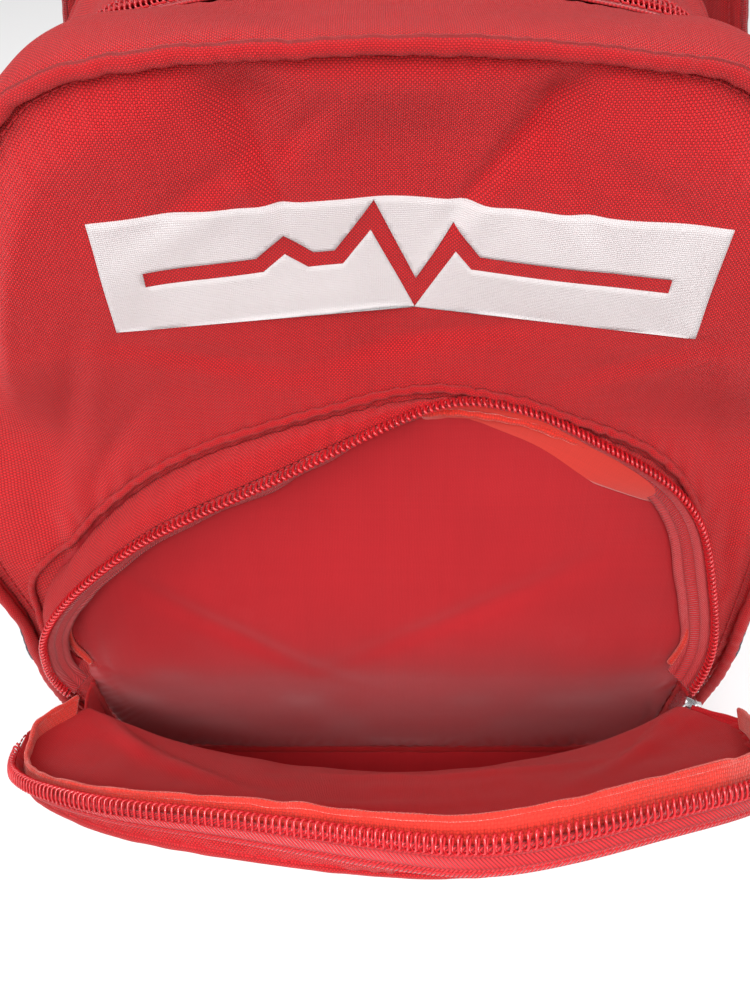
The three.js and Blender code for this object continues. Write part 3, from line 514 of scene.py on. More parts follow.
def round_rings(line, tangent, reference, radius, sides, tall=1.0):
    """Rings of points round a line, and their angles; tall stretches them along reference."""
    first = unit(np.cross(tangent, reference))
    second = np.cross(first, tangent) * tall
    angle = np.linspace(0, 2 * np.pi, sides, endpoint=False)
    cos, sin = np.cos(angle)[None, :, None], np.sin(angle)[None, :, None]
    radius = np.broadcast_to(radius, (len(line),))[:, None, None]
    return line[:, None] + radius * (cos * first[:, None] + sin * second[:, None]), angle


def tube(name, line, radius, mat, sides=10, closed=False, tall=1.0, reference=(0, 1, 0)):
    tangent = np.roll(line, -1, 0) - np.roll(line, 1, 0) if closed else np.gradient(line, axis=0)
    reference = np.broadcast_to(np.array(reference, float), line.shape)
    rings, angle = round_rings(line, unit(tangent), reference, radius, sides, tall)
    lengths = path_length(line)
    uv = uv_of(lengths[:, None], angle * float(np.mean(radius)))
    if closed:
        return loft(name, rings, uv, mat)
    return loft(name, rings, uv, mat, line[[0, -1]], [[0, 0], [lengths[-1], 0]])


def coil(name, line, across, out, pitch, reach, height, wire, steps):
    """Zip coil: a flattened helix of thick thread along the line.

    across points to or from the tape, out is the second axis of the helix.
    """
    lengths = path_length(line)
    turns = int(lengths[-1] / pitch)
    angle = np.linspace(0, turns * 2 * np.pi, turns * steps + 1)
    # the heads close up in pairs
    at = angle / (2 * np.pi) * pitch + pitch * 0.16 * np.sin(2 * angle)
    at = np.clip(at, 0, lengths[-1])
    across, out = (at_lengths(at, lengths, np.broadcast_to(axis, line.shape))
                   for axis in (across, out))
    path = (at_lengths(at, lengths, line)
            + across * reach * signed_power(np.cos(angle), 0.8)[:, None]
            + out * height * signed_power(np.sin(angle), 0.8)[:, None])
    thick = wire * (1 + 0.35 * np.clip(np.cos(angle), 0, 1) ** 6)
    rings, section = round_rings(path, unit(np.gradient(path, axis=0)), np.cross(across, out),
                                 thick, 5)
    return loft(name, rings, uv_of(at[:, None], section), "coil_red", path[[0, -1]],
                [[0, 0], [0, 0]])


def band(name, line, wide, thick, half_wide, half_thick, mat="webbing_red", puff=None, half_count=22):
    """Soft band with a flattened round section, wide and thick being its two axes."""
    angle = np.linspace(0, 2 * np.pi, half_count * 2, endpoint=False)
    side, top = signed_power(np.cos(angle), 0.55), signed_power(np.sin(angle), 0.55)
    half_wide, half_thick = (np.broadcast_to(half, (len(line),))[:, None]
                             for half in (half_wide, half_thick))
    profile = 1.0 if puff is None else puff(np.linspace(0, 1, len(line))[:, None], side[None, :])
    rings = (line[:, None] + wide[:, None] * (side * half_wide)[..., None]
             + thick[:, None] * (top * half_thick * profile)[..., None])
    lengths = path_length(line)
    uv = uv_of(lengths[:, None], side * half_wide + 40.0)
    tangent = unit(np.gradient(line, axis=0))
    flip = (np.cross(wide, thick) * tangent).sum(1).mean() < 0
    return loft(name, rings, uv, mat, line[[0, -1]], [[0, 40], [lengths[-1], 40]], flip)


# One stitch: three rings of eight points, narrower at its top and foot
STITCH_RING = np.array([(-1, -0.7), (-0.6, -1), (0.6, -1), (1, -0.7),
                        (1, 0.7), (0.6, 1), (-0.6, 1), (-1, 0.7)])
STITCH_POINTS = np.concatenate([np.column_stack([STITCH_RING * scale, np.full(8, height)])
                                for scale, height in (((0.92, 0.92), -1.0), ((1, 1), 0.2),
                                                      ((0.8, 0.6), 1.0))])
STITCH_FACES = np.array(
    [[level + i, level + (i + 1) % 8, level + 8 + (i + 1) % 8, level + 8 + i]
     for level in (0, 8) for i in range(8)]
    + [[16, 17, 18, 19], [16, 19, 20, 23], [20, 21, 22, 23]]
    + [[3, 2, 1, 0], [7, 4, 3, 0], [7, 6, 5, 4]])
STITCH_HALF_WIDE, STITCH_HALF_HIGH, STITCH_MARGIN = 0.33, 0.32, 2.0


def stitches(name, line, normals, length=2.6, spacing=3.6, lift=0.1):
    """A row of stitches along a line on a surface with the given normals."""
    lengths = path_length(line)
    at = np.arange(STITCH_MARGIN, lengths[-1] - STITCH_MARGIN, spacing)
    along = unit(at_lengths(np.minimum(at + 0.6, lengths[-1]), lengths, line)
                 - at_lengths(np.maximum(at - 0.6, 0), lengths, line))
    normal = at_lengths(at, lengths, np.broadcast_to(normals, line.shape))
    normal = unit(normal - (normal * along).sum(1, keepdims=True) * along)
    centre = at_lengths(at, lengths, line) + normal * lift
    local = STITCH_POINTS * [length / 2, STITCH_HALF_WIDE, STITCH_HALF_HIGH]
    verts = centre[:, None]
    for i, axis in enumerate((along, np.cross(normal, along), normal)):
        verts = verts + local[None, :, i:i + 1] * axis[:, None]
    faces = STITCH_FACES[None] + (np.arange(len(at)) * 24)[:, None, None]
    return new_mesh(name, verts.reshape(-1, 3), np.tile(local[:, :2], (len(at), 1)), "thread",
                    faces.reshape(-1, 4))


# ---------------------------------------------------------------- material builder
class Shader:
    """A Principled material; each method adds one or a few nodes and returns an output socket."""

    SOCKETS = {"base": "Base Color", "rough": "Roughness", "metal": "Metallic",
               "spec": "Specular IOR Level", "sheen": "Sheen Weight",
               "sheen_rough": "Sheen Roughness", "sheen_tint": "Sheen Tint",
               "coat": "Coat Weight", "coat_rough": "Coat Roughness", "normal": "Normal",
               "sss": "Subsurface Weight", "sss_radius": "Subsurface Radius",
               "sss_scale": "Subsurface Scale", "alpha": "Alpha"}

    def __init__(self, name):
        material = bpy.data.materials.new(name)
        material.use_nodes = True
        self.tree = material.node_tree
        self.tree.nodes.clear()
        output = self.node("ShaderNodeOutputMaterial")
        self.principled = self.node("ShaderNodeBsdfPrincipled")
        self.tree.links.new(self.principled.outputs[0], output.inputs[0])
        MATS[name] = material

    def node(self, kind):
        return self.tree.nodes.new(kind)

    def put(self, socket, value):
        if isinstance(value, bpy.types.NodeSocket):
            self.tree.links.new(value, socket)
        elif isinstance(value, tuple) and len(value) == 3 and len(socket.default_value) == 4:
            socket.default_value = (*value, 1)
        else:
            socket.default_value = value

    @cached_property
    def uv(self):
        return self.node("ShaderNodeUVMap").outputs[0]

    @cached_property
    def uv_axes(self):
        split = self.node("ShaderNodeSeparateXYZ")
        self.put(split.inputs[0], self.uv)
        return split.outputs[0], split.outputs[1]

    @cached_property
    def place(self):
        return self.node("ShaderNodeTexCoord").outputs["Object"]

    def calc(self, operation, *values):
        node = self.node("ShaderNodeMath")
        node.operation = operation
        for socket, value in zip(node.inputs, values):
            self.put(socket, value)
        return node.outputs[0]

    def add(self, one, two):
        return self.calc("ADD", one, two)

    def mul(self, one, two):
        return self.calc("MULTIPLY", one, two)

    def sub(self, one, two):
        return self.calc("SUBTRACT", one, two)

    def scaled(self, value, gain, offset):
        return self.calc("MULTIPLY_ADD", value, gain, offset)

    def centred(self, value, amount):
        return self.mul(self.sub(value, 0.5), amount)

    def arch(self, value):
        return self.calc("SINE", self.mul(value, math.pi))

    def odd(self, value):
        """1 for odd whole numbers, 0 for even ones."""
        return self.calc("ABSOLUTE", self.calc("MODULO", value, 2.0))

    def noise(self, scale, vector=None, detail=2.0, rough=0.5):
        node = self.node("ShaderNodeTexNoise")
        node.inputs["Scale"].default_value = scale
        node.inputs["Detail"].default_value = detail
        node.inputs["Roughness"].default_value = rough
        self.put(node.inputs["Vector"], vector or self.place)
        return node.outputs["Fac"]

    def random(self, value):
        node = self.node("ShaderNodeTexWhiteNoise")
        node.noise_dimensions = "1D"
        self.put(node.inputs["W"], value)
        return node.outputs["Value"]

    def ramp(self, value, low, high):
        """Maps low..high to 0..1, clamped."""
        node = self.node("ShaderNodeMapRange")
        node.clamp = True
        for i, setting in enumerate((value, low, high, 0.0, 1.0)):
            self.put(node.inputs[i], setting)
        return node.outputs[0]

    def mix(self, factor, one, two):
        node = self.node("ShaderNodeMix")
        node.data_type = "RGBA"
        for i, setting in ((0, factor), (6, one), (7, two)):
            self.put(node.inputs[i], setting)
        return node.outputs[2]

    def shade(self, colour, level):
        node = self.node("ShaderNodeVectorMath")
        node.operation = "SCALE"
        self.put(node.inputs[0], colour)
        self.put(node.inputs[3], level)
        return node.outputs[0]

    def bump(self, height, strength, depth, normal=None):
        """Bump with a depth in millimetres, on top of another normal."""
        node = self.node("ShaderNodeBump")
        node.inputs["Strength"].default_value = strength
        node.inputs["Distance"].default_value = depth * 0.001
        self.put(node.inputs["Height"], height)
        if normal is not None:
            self.put(node.inputs["Normal"], normal)
        return node.outputs[0]

    def set(self, **settings):
        for key, value in settings.items():
            self.put(self.principled.inputs[self.SOCKETS[key]], value)

    def either(self, switch, one, two):
        return self.add(self.mul(one, switch), self.mul(two, self.sub(1.0, switch)))

    def weave(self, pitch):
        """Plain weave: height (1 on a yarn's crown), which yarn is over, and the cell indices."""
        wander = self.centred(self.noise(0.11, self.uv, detail=1.0), 0.8)
        along = self.calc("DIVIDE", self.add(self.uv_axes[0], wander), pitch)
        across = self.calc("DIVIDE", self.sub(self.uv_axes[1], wander), pitch)
        cells = self.calc("FLOOR", along), self.calc("FLOOR", across)
        over = self.odd(self.add(*cells))
        warp, weft = self.arch(self.calc("FRACT", along)), self.arch(self.calc("FRACT", across))

        def yarn(crown, length):
            return self.mul(self.calc("POWER", crown, 0.6), self.scaled(length, 0.5, 0.5))

        return self.either(over, yarn(warp, weft), yarn(weft, warp)), over, cells


# ---------------------------------------------------------------- materials
RED = (0.68, 0.015, 0.020)


def woven(name, colour, pitch=0.68, bump=0.9, depth=0.42, rough=0.6, sheen=0.35,
          tint=(1.0, 0.62, 0.6), dark=0.42, patch=0.10, spec=0.14, fuzz=0.0, check=0.06):
    """Woven cloth.

    pitch, depth: yarn spacing and relief in mm; tint: colour of the sheen; dark: brightness
    of the painted shade in the gaps; patch: cloudiness; fuzz: hairiness; check: contrast of
    crossing yarns.
    """
    mat = Shader(name)
    height, over, cells = mat.weave(pitch)
    yarn = mat.either(over, mat.random(mat.add(cells[0], 0.5)),
                      mat.random(mat.add(cells[1], 200.5)))
    cloudy = mat.noise(9.0, detail=3.0, rough=0.6)
    fine = mat.noise(140.0, detail=3.0, rough=0.7)
    # painted shade: the gaps between the yarns are coloured darker than their crowns
    level = mat.scaled(height, 1 - dark, dark)
    for value, amount in ((cloudy, patch * 2), (yarn, 0.07), (over, check), (fine, 0.05 + fuzz)):
        level = mat.add(level, mat.centred(value, amount))
    # handling marks: slightly dusty, lighter patches
    wear = mat.ramp(mat.noise(17.0, detail=5.0, rough=0.75), 0.58, 0.76)
    worn = (min(1, colour[0] * 1.15 + 0.05), colour[1] + 0.06, colour[2] + 0.06)
    normal = mat.bump(mat.noise(900.0), strength=0.12 + fuzz, depth=0.12)
    if fuzz:
        normal = mat.bump(mat.noise(330.0, detail=3.0, rough=0.7),
                          strength=0.7 * min(1, fuzz * 3), depth=0.5, normal=normal)
    mat.set(base=mat.mix(mat.mul(wear, 0.10), mat.shade(colour, level), worn),
            rough=mat.add(rough, mat.centred(fine, 0.16)), spec=spec, sheen=sheen,
            sheen_rough=0.45, sheen_tint=tint, normal=mat.bump(height, bump, depth, normal))


def tape_material(name, colour, rib, stripe):
    """Herringbone tape: slanted ribs that change direction from stripe to stripe."""
    mat = Shader(name)
    along, across = mat.uv_axes
    stripes = mat.calc("DIVIDE", across, stripe)
    side = mat.scaled(mat.odd(mat.calc("FLOOR", stripes)), 2.0, -1.0)
    slant = mat.add(along, mat.mul(mat.mul(across, 0.9), side))
    ribs = mat.calc("ABSOLUTE", mat.calc("SINE", mat.mul(slant, math.pi / rib)))
    ribs = mat.calc("POWER", ribs, 0.7)
    crown = mat.calc("MAXIMUM", mat.arch(mat.calc("FRACT", stripes)), 0.0)
    height = mat.mul(ribs, mat.calc("POWER", crown, 0.35))
    fine = mat.noise(160.0, detail=3.0, rough=0.7)
    # painted shade: the grooves between the ribs and at the stripes' edges are coloured darker
    level = mat.add(mat.scaled(height, 0.62, 0.42), mat.centred(fine, 0.2))
    mat.set(base=mat.shade(colour, level), rough=0.55, spec=0.3, sheen=0.35, sheen_rough=0.4,
            sheen_tint=(1, 0.6, 0.6),
            normal=mat.bump(height, strength=1.0, depth=0.6,
                            normal=mat.bump(fine, strength=0.1, depth=0.2)))


def print_material():
    """White print that lets a little red through in the gaps of the weave."""
    mat = Shader("white_print")
    height = mat.weave(0.68)[0]
    gaps = mat.add(mat.sub(1.0, height), mat.mul(mat.noise(60.0, detail=4.0, rough=0.7), 0.35))
    white = mat.shade((0.665, 0.62, 0.622),
                      mat.scaled(mat.noise(20.0, detail=4.0, rough=0.6), 0.06, 0.95))
    mat.set(base=mat.mix(mat.mul(mat.ramp(gaps, 0.93, 1.02), 0.35), white, (0.62, 0.30, 0.31)),
            rough=mat.scaled(height, -0.12, 0.6), spec=0.25,
            normal=mat.bump(height, strength=0.8, depth=0.3))


def coil_material():
    mat = Shader("coil_red")
    mat.set(base=mat.shade((0.55, 0.014, 0.02), mat.scaled(mat.noise(70.0), 0.5, 0.75)),
            rough=mat.scaled(mat.noise(240.0), 0.15, 0.2), spec=0.6, coat=0.25, coat_rough=0.15,
            sss=0.12, sss_radius=(0.9, 0.12, 0.1), sss_scale=0.0006,
            normal=mat.bump(mat.noise(1500.0), strength=0.15, depth=0.06))


def thread_material():
    mat = Shader("thread")
    twist = mat.calc("SINE", mat.mul(mat.add(*mat.uv_axes), 9.0))
    # painted shade: the grooves of the twist are coloured darker
    mat.set(base=mat.shade((0.50, 0.010, 0.015), mat.scaled(twist, 0.12, 0.9)), rough=0.55,
            spec=0.2, sheen=0.12, normal=mat.bump(twist, strength=0.5, depth=0.1))


def metal_material():
    mat = Shader("slider_metal")
    scratch = mat.noise(600.0, detail=4.0, rough=0.7)
    worn = mat.ramp(mat.noise(120.0, detail=4.0, rough=0.7), 0.45, 0.7)
    mat.set(base=mat.mix(worn, (0.62, 0.62, 0.63), (0.78, 0.78, 0.79)), metal=1.0,
            rough=mat.add(mat.scaled(scratch, 0.22, 0.14), mat.mul(worn, 0.08)),
            normal=mat.bump(scratch, strength=0.12, depth=0.1))


def plastic_material():
    mat = Shader("black_plastic")
    grain = mat.noise(1400.0, detail=3.0, rough=0.6)
    rubbed = mat.ramp(mat.noise(90.0, detail=5.0, rough=0.8), 0.5, 0.75)
    mat.set(base=mat.mix(rubbed, (0.012, 0.012, 0.013), (0.03, 0.03, 0.031)),
            rough=mat.scaled(grain, 0.25, 0.32), spec=0.45,
            normal=mat.bump(grain, strength=0.3, depth=0.1))


def knit_material():
    """Open knitted mesh: holes in a brick pattern, threads between them."""
    hole_wide, hole_high = 2.3, 2.0
    mat = Shader("knit_mesh")
    along, across = mat.uv_axes
    row = mat.calc("FLOOR", mat.calc("DIVIDE", across, hole_high))
    shifted = mat.add(mat.calc("DIVIDE", along, hole_wide), mat.mul(mat.odd(row), 0.5))
    side = mat.sub(mat.calc("FRACT", shifted), 0.5)
    rise = mat.sub(mat.calc("FRACT", mat.calc("DIVIDE", across, hole_high)), 0.5)
    radius = mat.calc("SQRT", mat.add(mat.mul(side, side), mat.mul(mat.mul(rise, rise), 0.9)))
    level = mat.scaled(mat.noise(200.0, detail=3.0), 0.6, 0.7)
    mat.set(base=mat.shade((0.30, 0.010, 0.018), level), rough=0.6, spec=0.3, sheen=0.35,
            alpha=mat.ramp(radius, 0.27, 0.33),
            normal=mat.bump(mat.ramp(radius, 0.27, 0.5), strength=0.8, depth=0.5))


def floor_material():
    mat = Shader("floor_pale")
    mat.set(base=mat.shade((0.93, 0.93, 0.935), mat.scaled(mat.noise(3.0), 0.01, 0.99)),
            rough=0.75, spec=0.15)


woven("red_weave", RED, sheen=0.15, bump=1.0, depth=0.5, dark=0.44, check=0.46)
woven("red_weave_bias", (0.55, 0.014, 0.018), pitch=0.62, bump=0.8, sheen=0.16, check=0.4)
# smoother lining cloth; its darker colour is painted shade for the insides of the pocket and the bag
woven("red_lining", (0.40, 0.014, 0.019), bump=0.35, depth=0.15, rough=0.5, sheen=0.42,
      tint=(1.0, 0.66, 0.68), dark=0.86, patch=0.16, spec=0.2, check=0.07)
woven("red_inner", (0.52, 0.013, 0.019), bump=0.6, depth=0.25, rough=0.55, sheen=0.17,
      dark=0.66, patch=0.16, check=0.12)
# facing: its bright orange is a painted glow of light coming through the cloth
woven("orange_facing", (0.66, 0.045, 0.03), pitch=0.5, bump=0.25, depth=0.12, rough=0.42,
      sheen=0.5, dark=0.85)
woven("binding_fuzzy", (0.68, 0.034, 0.022), pitch=1.1, bump=0.5, depth=0.5, rough=0.8,
      sheen=0.7, tint=(1, 0.55, 0.5), dark=0.6, fuzz=0.34, check=0.12)
woven("webbing_red", (0.40, 0.008, 0.014), pitch=1.25, depth=0.55, rough=0.55, dark=0.5)
woven("elastic_black", (0.012, 0.016, 0.024), pitch=0.95, depth=0.5, rough=0.55,
      tint=(0.6, 0.7, 0.85), dark=0.5)
woven("foam_cover", (0.45, 0.012, 0.018), pitch=0.9, bump=0.7, depth=0.4, rough=0.75, sheen=0.3)
woven("board_grey", (0.035, 0.035, 0.038), pitch=0.8, bump=0.3, depth=0.2, rough=0.7,
      sheen=0.1, tint=(1, 1, 1))
tape_material("zip_tape", (0.60, 0.018, 0.024), rib=1.45, stripe=3.9)
tape_material("zip_tape_dark", (0.42, 0.010, 0.020), rib=1.3, stripe=3.4)
print_material()
coil_material()
thread_material()
metal_material()
plastic_material()
knit_material()
floor_material()

CLOTH = ("red_weave", "red_inner")
# outer cloth, with the lining's painted-shade colour on the inner side
CLOTH_LINED = ("red_weave", "red_lining")


def place(obj, part, replaces=None):
    """Ties a piece to a part; main (shell to front) and fold (front to flap) pieces only get baked in
    place.
    """
    if part == "main":
        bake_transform(obj)
    elif part == "fold":
        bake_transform(obj)
    else:
        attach(obj, part)
    if replaces:
        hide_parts(replaces)
    return obj


# ---------------------------------------------------------------- front panel
PANEL_MID_Z, PANEL_INSET, PANEL_REACH = 200.0, 2.2, 190


def radial_panel(angles, rings, mid_z, surface, inset):
    """Rings from a middle out to the shell's outline: points, flat x and z, steps both ways."""
    dist = np.linspace(-HALF_ROUND, HALF_ROUND, angles + 1)
    x, z, out_x, out_z = outline(dist)
    x, z = x - out_x * inset, z - out_z * inset
    share = np.linspace(0.01, 1, rings + 1) ** 0.75
    flat_x = x[:, None] * share
    flat_z = mid_z + (z[:, None] - mid_z) * share
    return surface(flat_x, flat_z), flat_x, flat_z, dist[:, None], share[None, :]


def hold_at_seam(points, edge, x, z):
    """Above the pocket the stuffed face comes back to the seam at its sides."""
    held = (1 - smooth(edge / 17)) * smooth((z - 212) / 30)
    points[..., 1] = points[..., 1] * (1 - held) + slump(x, FRONT_Y, z)[..., 1] * held


face, flat_x, flat_z, dist, share = radial_panel(560, 150, PANEL_MID_Z, panel_point, PANEL_INSET)
edge = (1 - share) * PANEL_REACH
hold_at_seam(face, edge, flat_x, flat_z)
gathers = (np.sin(dist * 2 * np.pi / 7.0 + 3.0 * noise(dist / 23, 0, 31))
           * (0.5 + 0.5 * noise(dist / 31, 4, 32)))
face[..., 1] += 0.7 * near(edge, 16.0) * gathers
# the seam pulls the last few millimetres back to the stitching
face[..., 1] += 2.6 * near(edge, 5.5)
front_panel = disc("front_panel_cloth", face, 1.6, CLOTH_LINED, uv_of(flat_x, flat_z),
                   facing=[0, -1, 0], middle=1)
# cloth inside the pocket is the smoother lining, whose darker colour is painted shade
inside = pocket_distance((flat_x[:-1, :-1] + flat_x[1:, 1:]) / 2,
                         (flat_z[:-1, :-1] + flat_z[1:, 1:]) / 2).ravel() < -1.5
face_mats = np.zeros(len(front_panel.data.polygons), np.int32)
front_panel.data.polygons.foreach_get("material_index", face_mats)
face_mats[:len(inside)][inside] = 1
front_panel.data.polygons.foreach_set("material_index", face_mats)
place(front_panel, "main", "front_panel")

# ---------------------------------------------------------------- gussets of the shell
# folds across the side strips: distance from the top centre, width, depth
GUSSET_FOLDS = [(-170, 9, 1.6), (-205, 13, 2.0), (-250, 12, 2.2), (-300, 14, 2.0), (150, 8, 1.5),
                (190, 12, 2.2), (240, 14, 2.0), (310, 13, 2.2), (-40, 16, 0.8), (70, 18, 0.9)]
SHELL_MID = [0, 0, 180.0]
ZIP_EDGE_Y = 10.2      # where the gussets stop on both sides of the zip


def strip_points(dist, y, off):
    """Points along the shell's outline at depth y, moved outwards."""
    dist, y, off = np.broadcast_arrays(dist, y, off)
    x, z, out_x, out_z = outline(dist)
    return slump(x + out_x * off, y, z + out_z * off)


def gusset_relief(dist, y, y_start, y_end, seed):
    span = y_end - y_start
    share = (y - y_start) / span

    def edges(width):
        return near(share * span, width) + near((1 - share) * span, width)

    arch = np.sin(np.pi * np.clip(share, 0, 1))
    off = 0.9 * noise(dist / 46, y / 30, seed) + 0.4 * noise(dist / 15, y / 16, seed + 1)
    off += (0.45 * edges(7.0) * np.sin(dist * 0.85 + 2.5 * noise(dist / 19, share, seed + 2))
            * (0.5 + 0.5 * noise(dist / 27, 0, seed + 3)))
    off -= 1.3 * edges(3.2)
    # the cloth sinks between its seams, more on the sides than over the top
    side = smooth((np.abs(dist) - 130) / 90)
    off -= (1.0 + 3.2 * side) * arch * (0.8 + 0.5 * noise(dist / 60, 0, seed + 5))
    for middle, width, depth in GUSSET_FOLDS:
        slant = (share - 0.5) * 30 * (1 if middle > 0 else -1)
        off -= depth * near(dist - middle - slant, width) * arch ** 0.7
    return off


def gusset(name, dist_ends, y_ends, counts, part, replaces, seed, under=False):
    """Strip of the shell; under marks the one that passes below the bag."""
    dist = np.linspace(*dist_ends, counts[0] + 1)[:, None]
    y = np.linspace(*y_ends, counts[1] + 1)[None, :]
    off = gusset_relief(dist, y, *y_ends, seed)
    outline_at = dist
    if under:
        outline_at = np.where(dist <= HALF_ROUND, dist, dist - 2 * HALF_ROUND)
        z = outline(outline_at)[1]
        off = off * smooth((z - 6) / 40) - 0.4 * (1 - smooth((z - 1) / 12))
    points = strip_points(outline_at, y, off)
    if under:   # the base itself is flat on the floor
        points[..., 2] = np.maximum(points[..., 2], 0.15)
    place(sheet(name, points, 1.5, CLOTH, points - SHELL_MID, uv_of(dist, y * 1.12)),
          part, replaces)


REACH = ZIP_REACH - 1.0
gusset("front_gusset_cloth", (-REACH, REACH), (FRONT_Y + 0.6, -ZIP_EDGE_Y), (470, 34),
       "main", "front_gusset", seed=41)
gusset("rear_gusset_cloth", (-REACH, REACH), (ZIP_EDGE_Y, BACK_Y + 0.9), (470, 34),
       "shell", "rear_gusset", seed=51)
gusset("base_gusset_cloth", (ZIP_REACH + 0.4, 2 * HALF_ROUND - ZIP_REACH - 0.4),
       (FRONT_Y + 1.0, BACK_Y + 0.9), (380, 60), "main", "base_gusset", seed=61, under=True)


# ---------------------------------------------------------------- piping of the shell
def outline_loop(y, inset, count, wobble, seed):
    """Slightly wavering loop inside the shell's outline, and the distances along it."""
    dist = np.linspace(-HALF_ROUND, HALF_ROUND, count, endpoint=False)
    x, z, out_x, out_z = outline(dist)
    waver = wobble * noise(dist / 7, 0, seed) + wobble * 0.8 * noise(dist / 33, 0, seed + 1)
    inward = inset - 0.6 * waver
    return slump(x - out_x * inward, y + waver, z - out_z * inward), dist


loop, dist = outline_loop(FRONT_Y - 2.5, 1.9, 900, wobble=0.35, seed=3)
radius = (2.75 + 0.22 * np.sin(dist * 0.9 + 2 * noise(dist / 11, 0, 9))
          * (0.5 + 0.5 * noise(dist / 29, 0, 10)) + 0.2 * noise(dist / 13, 0, 11))
place(tube("front_piping_cord", loop, radius, "red_weave_bias", sides=14, closed=True),
      "main", "front_piping")
loop, dist = outline_loop(BACK_Y + 2.2, 1.8, 700, wobble=0.3, seed=5)
place(tube("back_piping_cord", loop, 2.75 + 0.2 * noise(dist / 13, 0, 12), "red_weave_bias",
           sides=12, closed=True), "shell", "back_piping")

# stitch line on the front panel, just inside its piping
x, z, out_x, out_z = outline(np.linspace(-HALF_ROUND + 60, HALF_ROUND - 60, 1500))
line_x, line_z = x - out_x * 6.0, z - out_z * 6.0
line = panel_point(line_x, line_z)
full = np.hypot(x - out_x * PANEL_INSET, z - out_z * PANEL_INSET - PANEL_MID_Z)
edge = (1 - np.hypot(line_x, line_z - PANEL_MID_Z) / full) * PANEL_REACH
hold_at_seam(line, edge, line_x, line_z)
line[..., 1] += 0.5
place(stitches("panel_edge_stitching", line, [0, -1.0, 0.15], spacing=3.4), "main")

# ---------------------------------------------------------------- main zip: two tapes, two coils
dist = np.linspace(-REACH, REACH, 640)
x, z, out_x, out_z = outline(dist)
out = np.stack([out_x, 0 * out_x, out_z], 1)
share = np.linspace(0, 1, 7)
for side, part, tag in ((1, "shell", "rear"), (-1, "main", "front")):
    off = -0.35 + 0.25 * noise(dist[:, None] / 17, share * 2, 71) - 0.5 * (1 - share)
    face = strip_points(dist[:, None], side * (3.4 + 7.9 * share), off)
    place(sheet(f"main_zip_tape_{tag}_woven", face, 0.7, "zip_tape", face - SHELL_MID,
                uv_of(dist[:, None], share * 7.6)), part, f"main_zip_tape_{tag}")
    line = slump(x - out_x * 0.3, side * 2.45, z - out_z * 0.3)
    place(coil(f"main_zip_coil_{tag}_teeth", line, [0.0, -side, 0.0], out,
               pitch=2.0, reach=2.15, height=1.05, wire=0.38, steps=10),
          part, f"main_zip_coil_{tag}")
    place(stitches(f"main_zip_stitching_{tag}", slump(x, side * 7.2, z) + out * 0.1, out,
                   length=2.3, spacing=3.1), part)


# ---------------------------------------------------------------- front pocket, fixed part
def ruled(start, end, steps, bulge, seed):
    """Grid between two curves round the mouth, swelling outwards; its UV and outward normals."""
    span = end - start
    away = unit(np.cross(np.gradient(end, axis=0), span))
    from_middle = start - [0, 0, 150.0]
    from_middle[:, 1] = 0
    away *= np.sign((away * from_middle).sum(1))[:, None]
    edge = steps * np.linalg.norm(span, axis=1)[:, None]
    swell = (bulge + 0.5 * noise(ROUND_COL / 16, steps * 3, seed) * np.sin(np.pi * steps)
             + 0.35 * np.sin(ROUND_COL * 0.75 + 3 * noise(ROUND_COL / 21, 0, seed + 1))
             * near(edge, 5))
    face = start[:, None] + span[:, None] * steps[:, None] + away[:, None] * swell[..., None]
    return face, uv_of(ROUND_COL, edge), away[:, None]


seam = mouth_on_panel(POS, -SEAM_IN, SEAM_LIFT, 1.2)
mouth_out = unit(on_mouth(*mouth(POS, 1.0)) - on_mouth(*mouth(POS, 0.0)))
room = np.abs(((seam - body_rim(POS, 0.0)) * MOUTH_IN).sum(-1))
tape_end = np.minimum(12.0, 0.62 * room + 0.5)

place(coil("pocket_coil_body_teeth", body_rim(POS, 3.1, 0.4), -MOUTH_IN, mouth_out,
           pitch=2.4, reach=2.8, height=1.3, wire=0.48, steps=14), "main", "pocket_coil_body")
steps = np.linspace(0, 1, 9)
face = rows(steps, lambda step: body_rim(POS, 3.8 + (tape_end - 3.8) * step,
                                         -0.8 + 0.25 * np.sin(POS * 160) * step))
place(sheet("pocket_tape_body_woven", face, 0.7, "zip_tape", mouth_out[:, None],
            uv_of(ROUND_COL, steps * 9.0)), "main", "pocket_tape_body")
place(stitches("pocket_tape_body_stitching", body_rim(POS, tape_end - 1.6, -0.5), mouth_out,
               length=2.4, spacing=3.2), "main")

# free inner edge of the tape, hanging wavily inside the mouth
ripple = eased([(0, 0.08), (0.28, 0.10), (0.36, 0.8), (0.62, 0.8), (0.72, 0.15), (1, 0.1)])(POS)
wave = 1.0 + ripple * (0.45 * noise(POS * 14, 0, 81) + 0.25 * noise(POS * 37, 0, 82))
drop = eased([(0, 8), (0.1, 12), (0.28, 11), (0.5, 6), (0.65, 7), (0.85, 8), (0.95, 6),
              (1, 4)])(POS)
face = rows(steps, lambda step: body_rim(
    POS, 4.2 + (5.0 + 4.0 * wave) * step,
    -1.6 - drop * wave * step ** 1.2 + 0.9 * ripple * step * np.sin(POS * 95 + 3 * wave)))
place(sheet("pocket_inner_tape_edge", face, 0.7, "zip_tape", [0, -1.0, 0.4],
            uv_of(ROUND_COL, steps * 11.0)), "main")

# facing that shows below the top of the mouth, painted bright orange as a glow of light through the
# cloth
FACING_START, FACING_END = 0.235, 0.475
pos = np.linspace(FACING_START, FACING_END, 110)
steps = np.linspace(0, 1, 15)
depth = np.sin(np.pi * np.clip((pos - FACING_START) / 0.24, 0, 1)) ** 0.5
face = rows(steps, lambda step: body_rim(
    pos, 7.0 + 8.0 * step,
    -3.5 - (5.0 + 14.5 * depth) * step + 1.2 * np.sin(pos * 60) * step * (1 - step)))
place(sheet("pocket_facing", face, 0.8, "orange_facing", [0, -1.0, 0.4],
            uv_of((pos * MOUTH_L)[:, None], steps * 20.0)), "main")

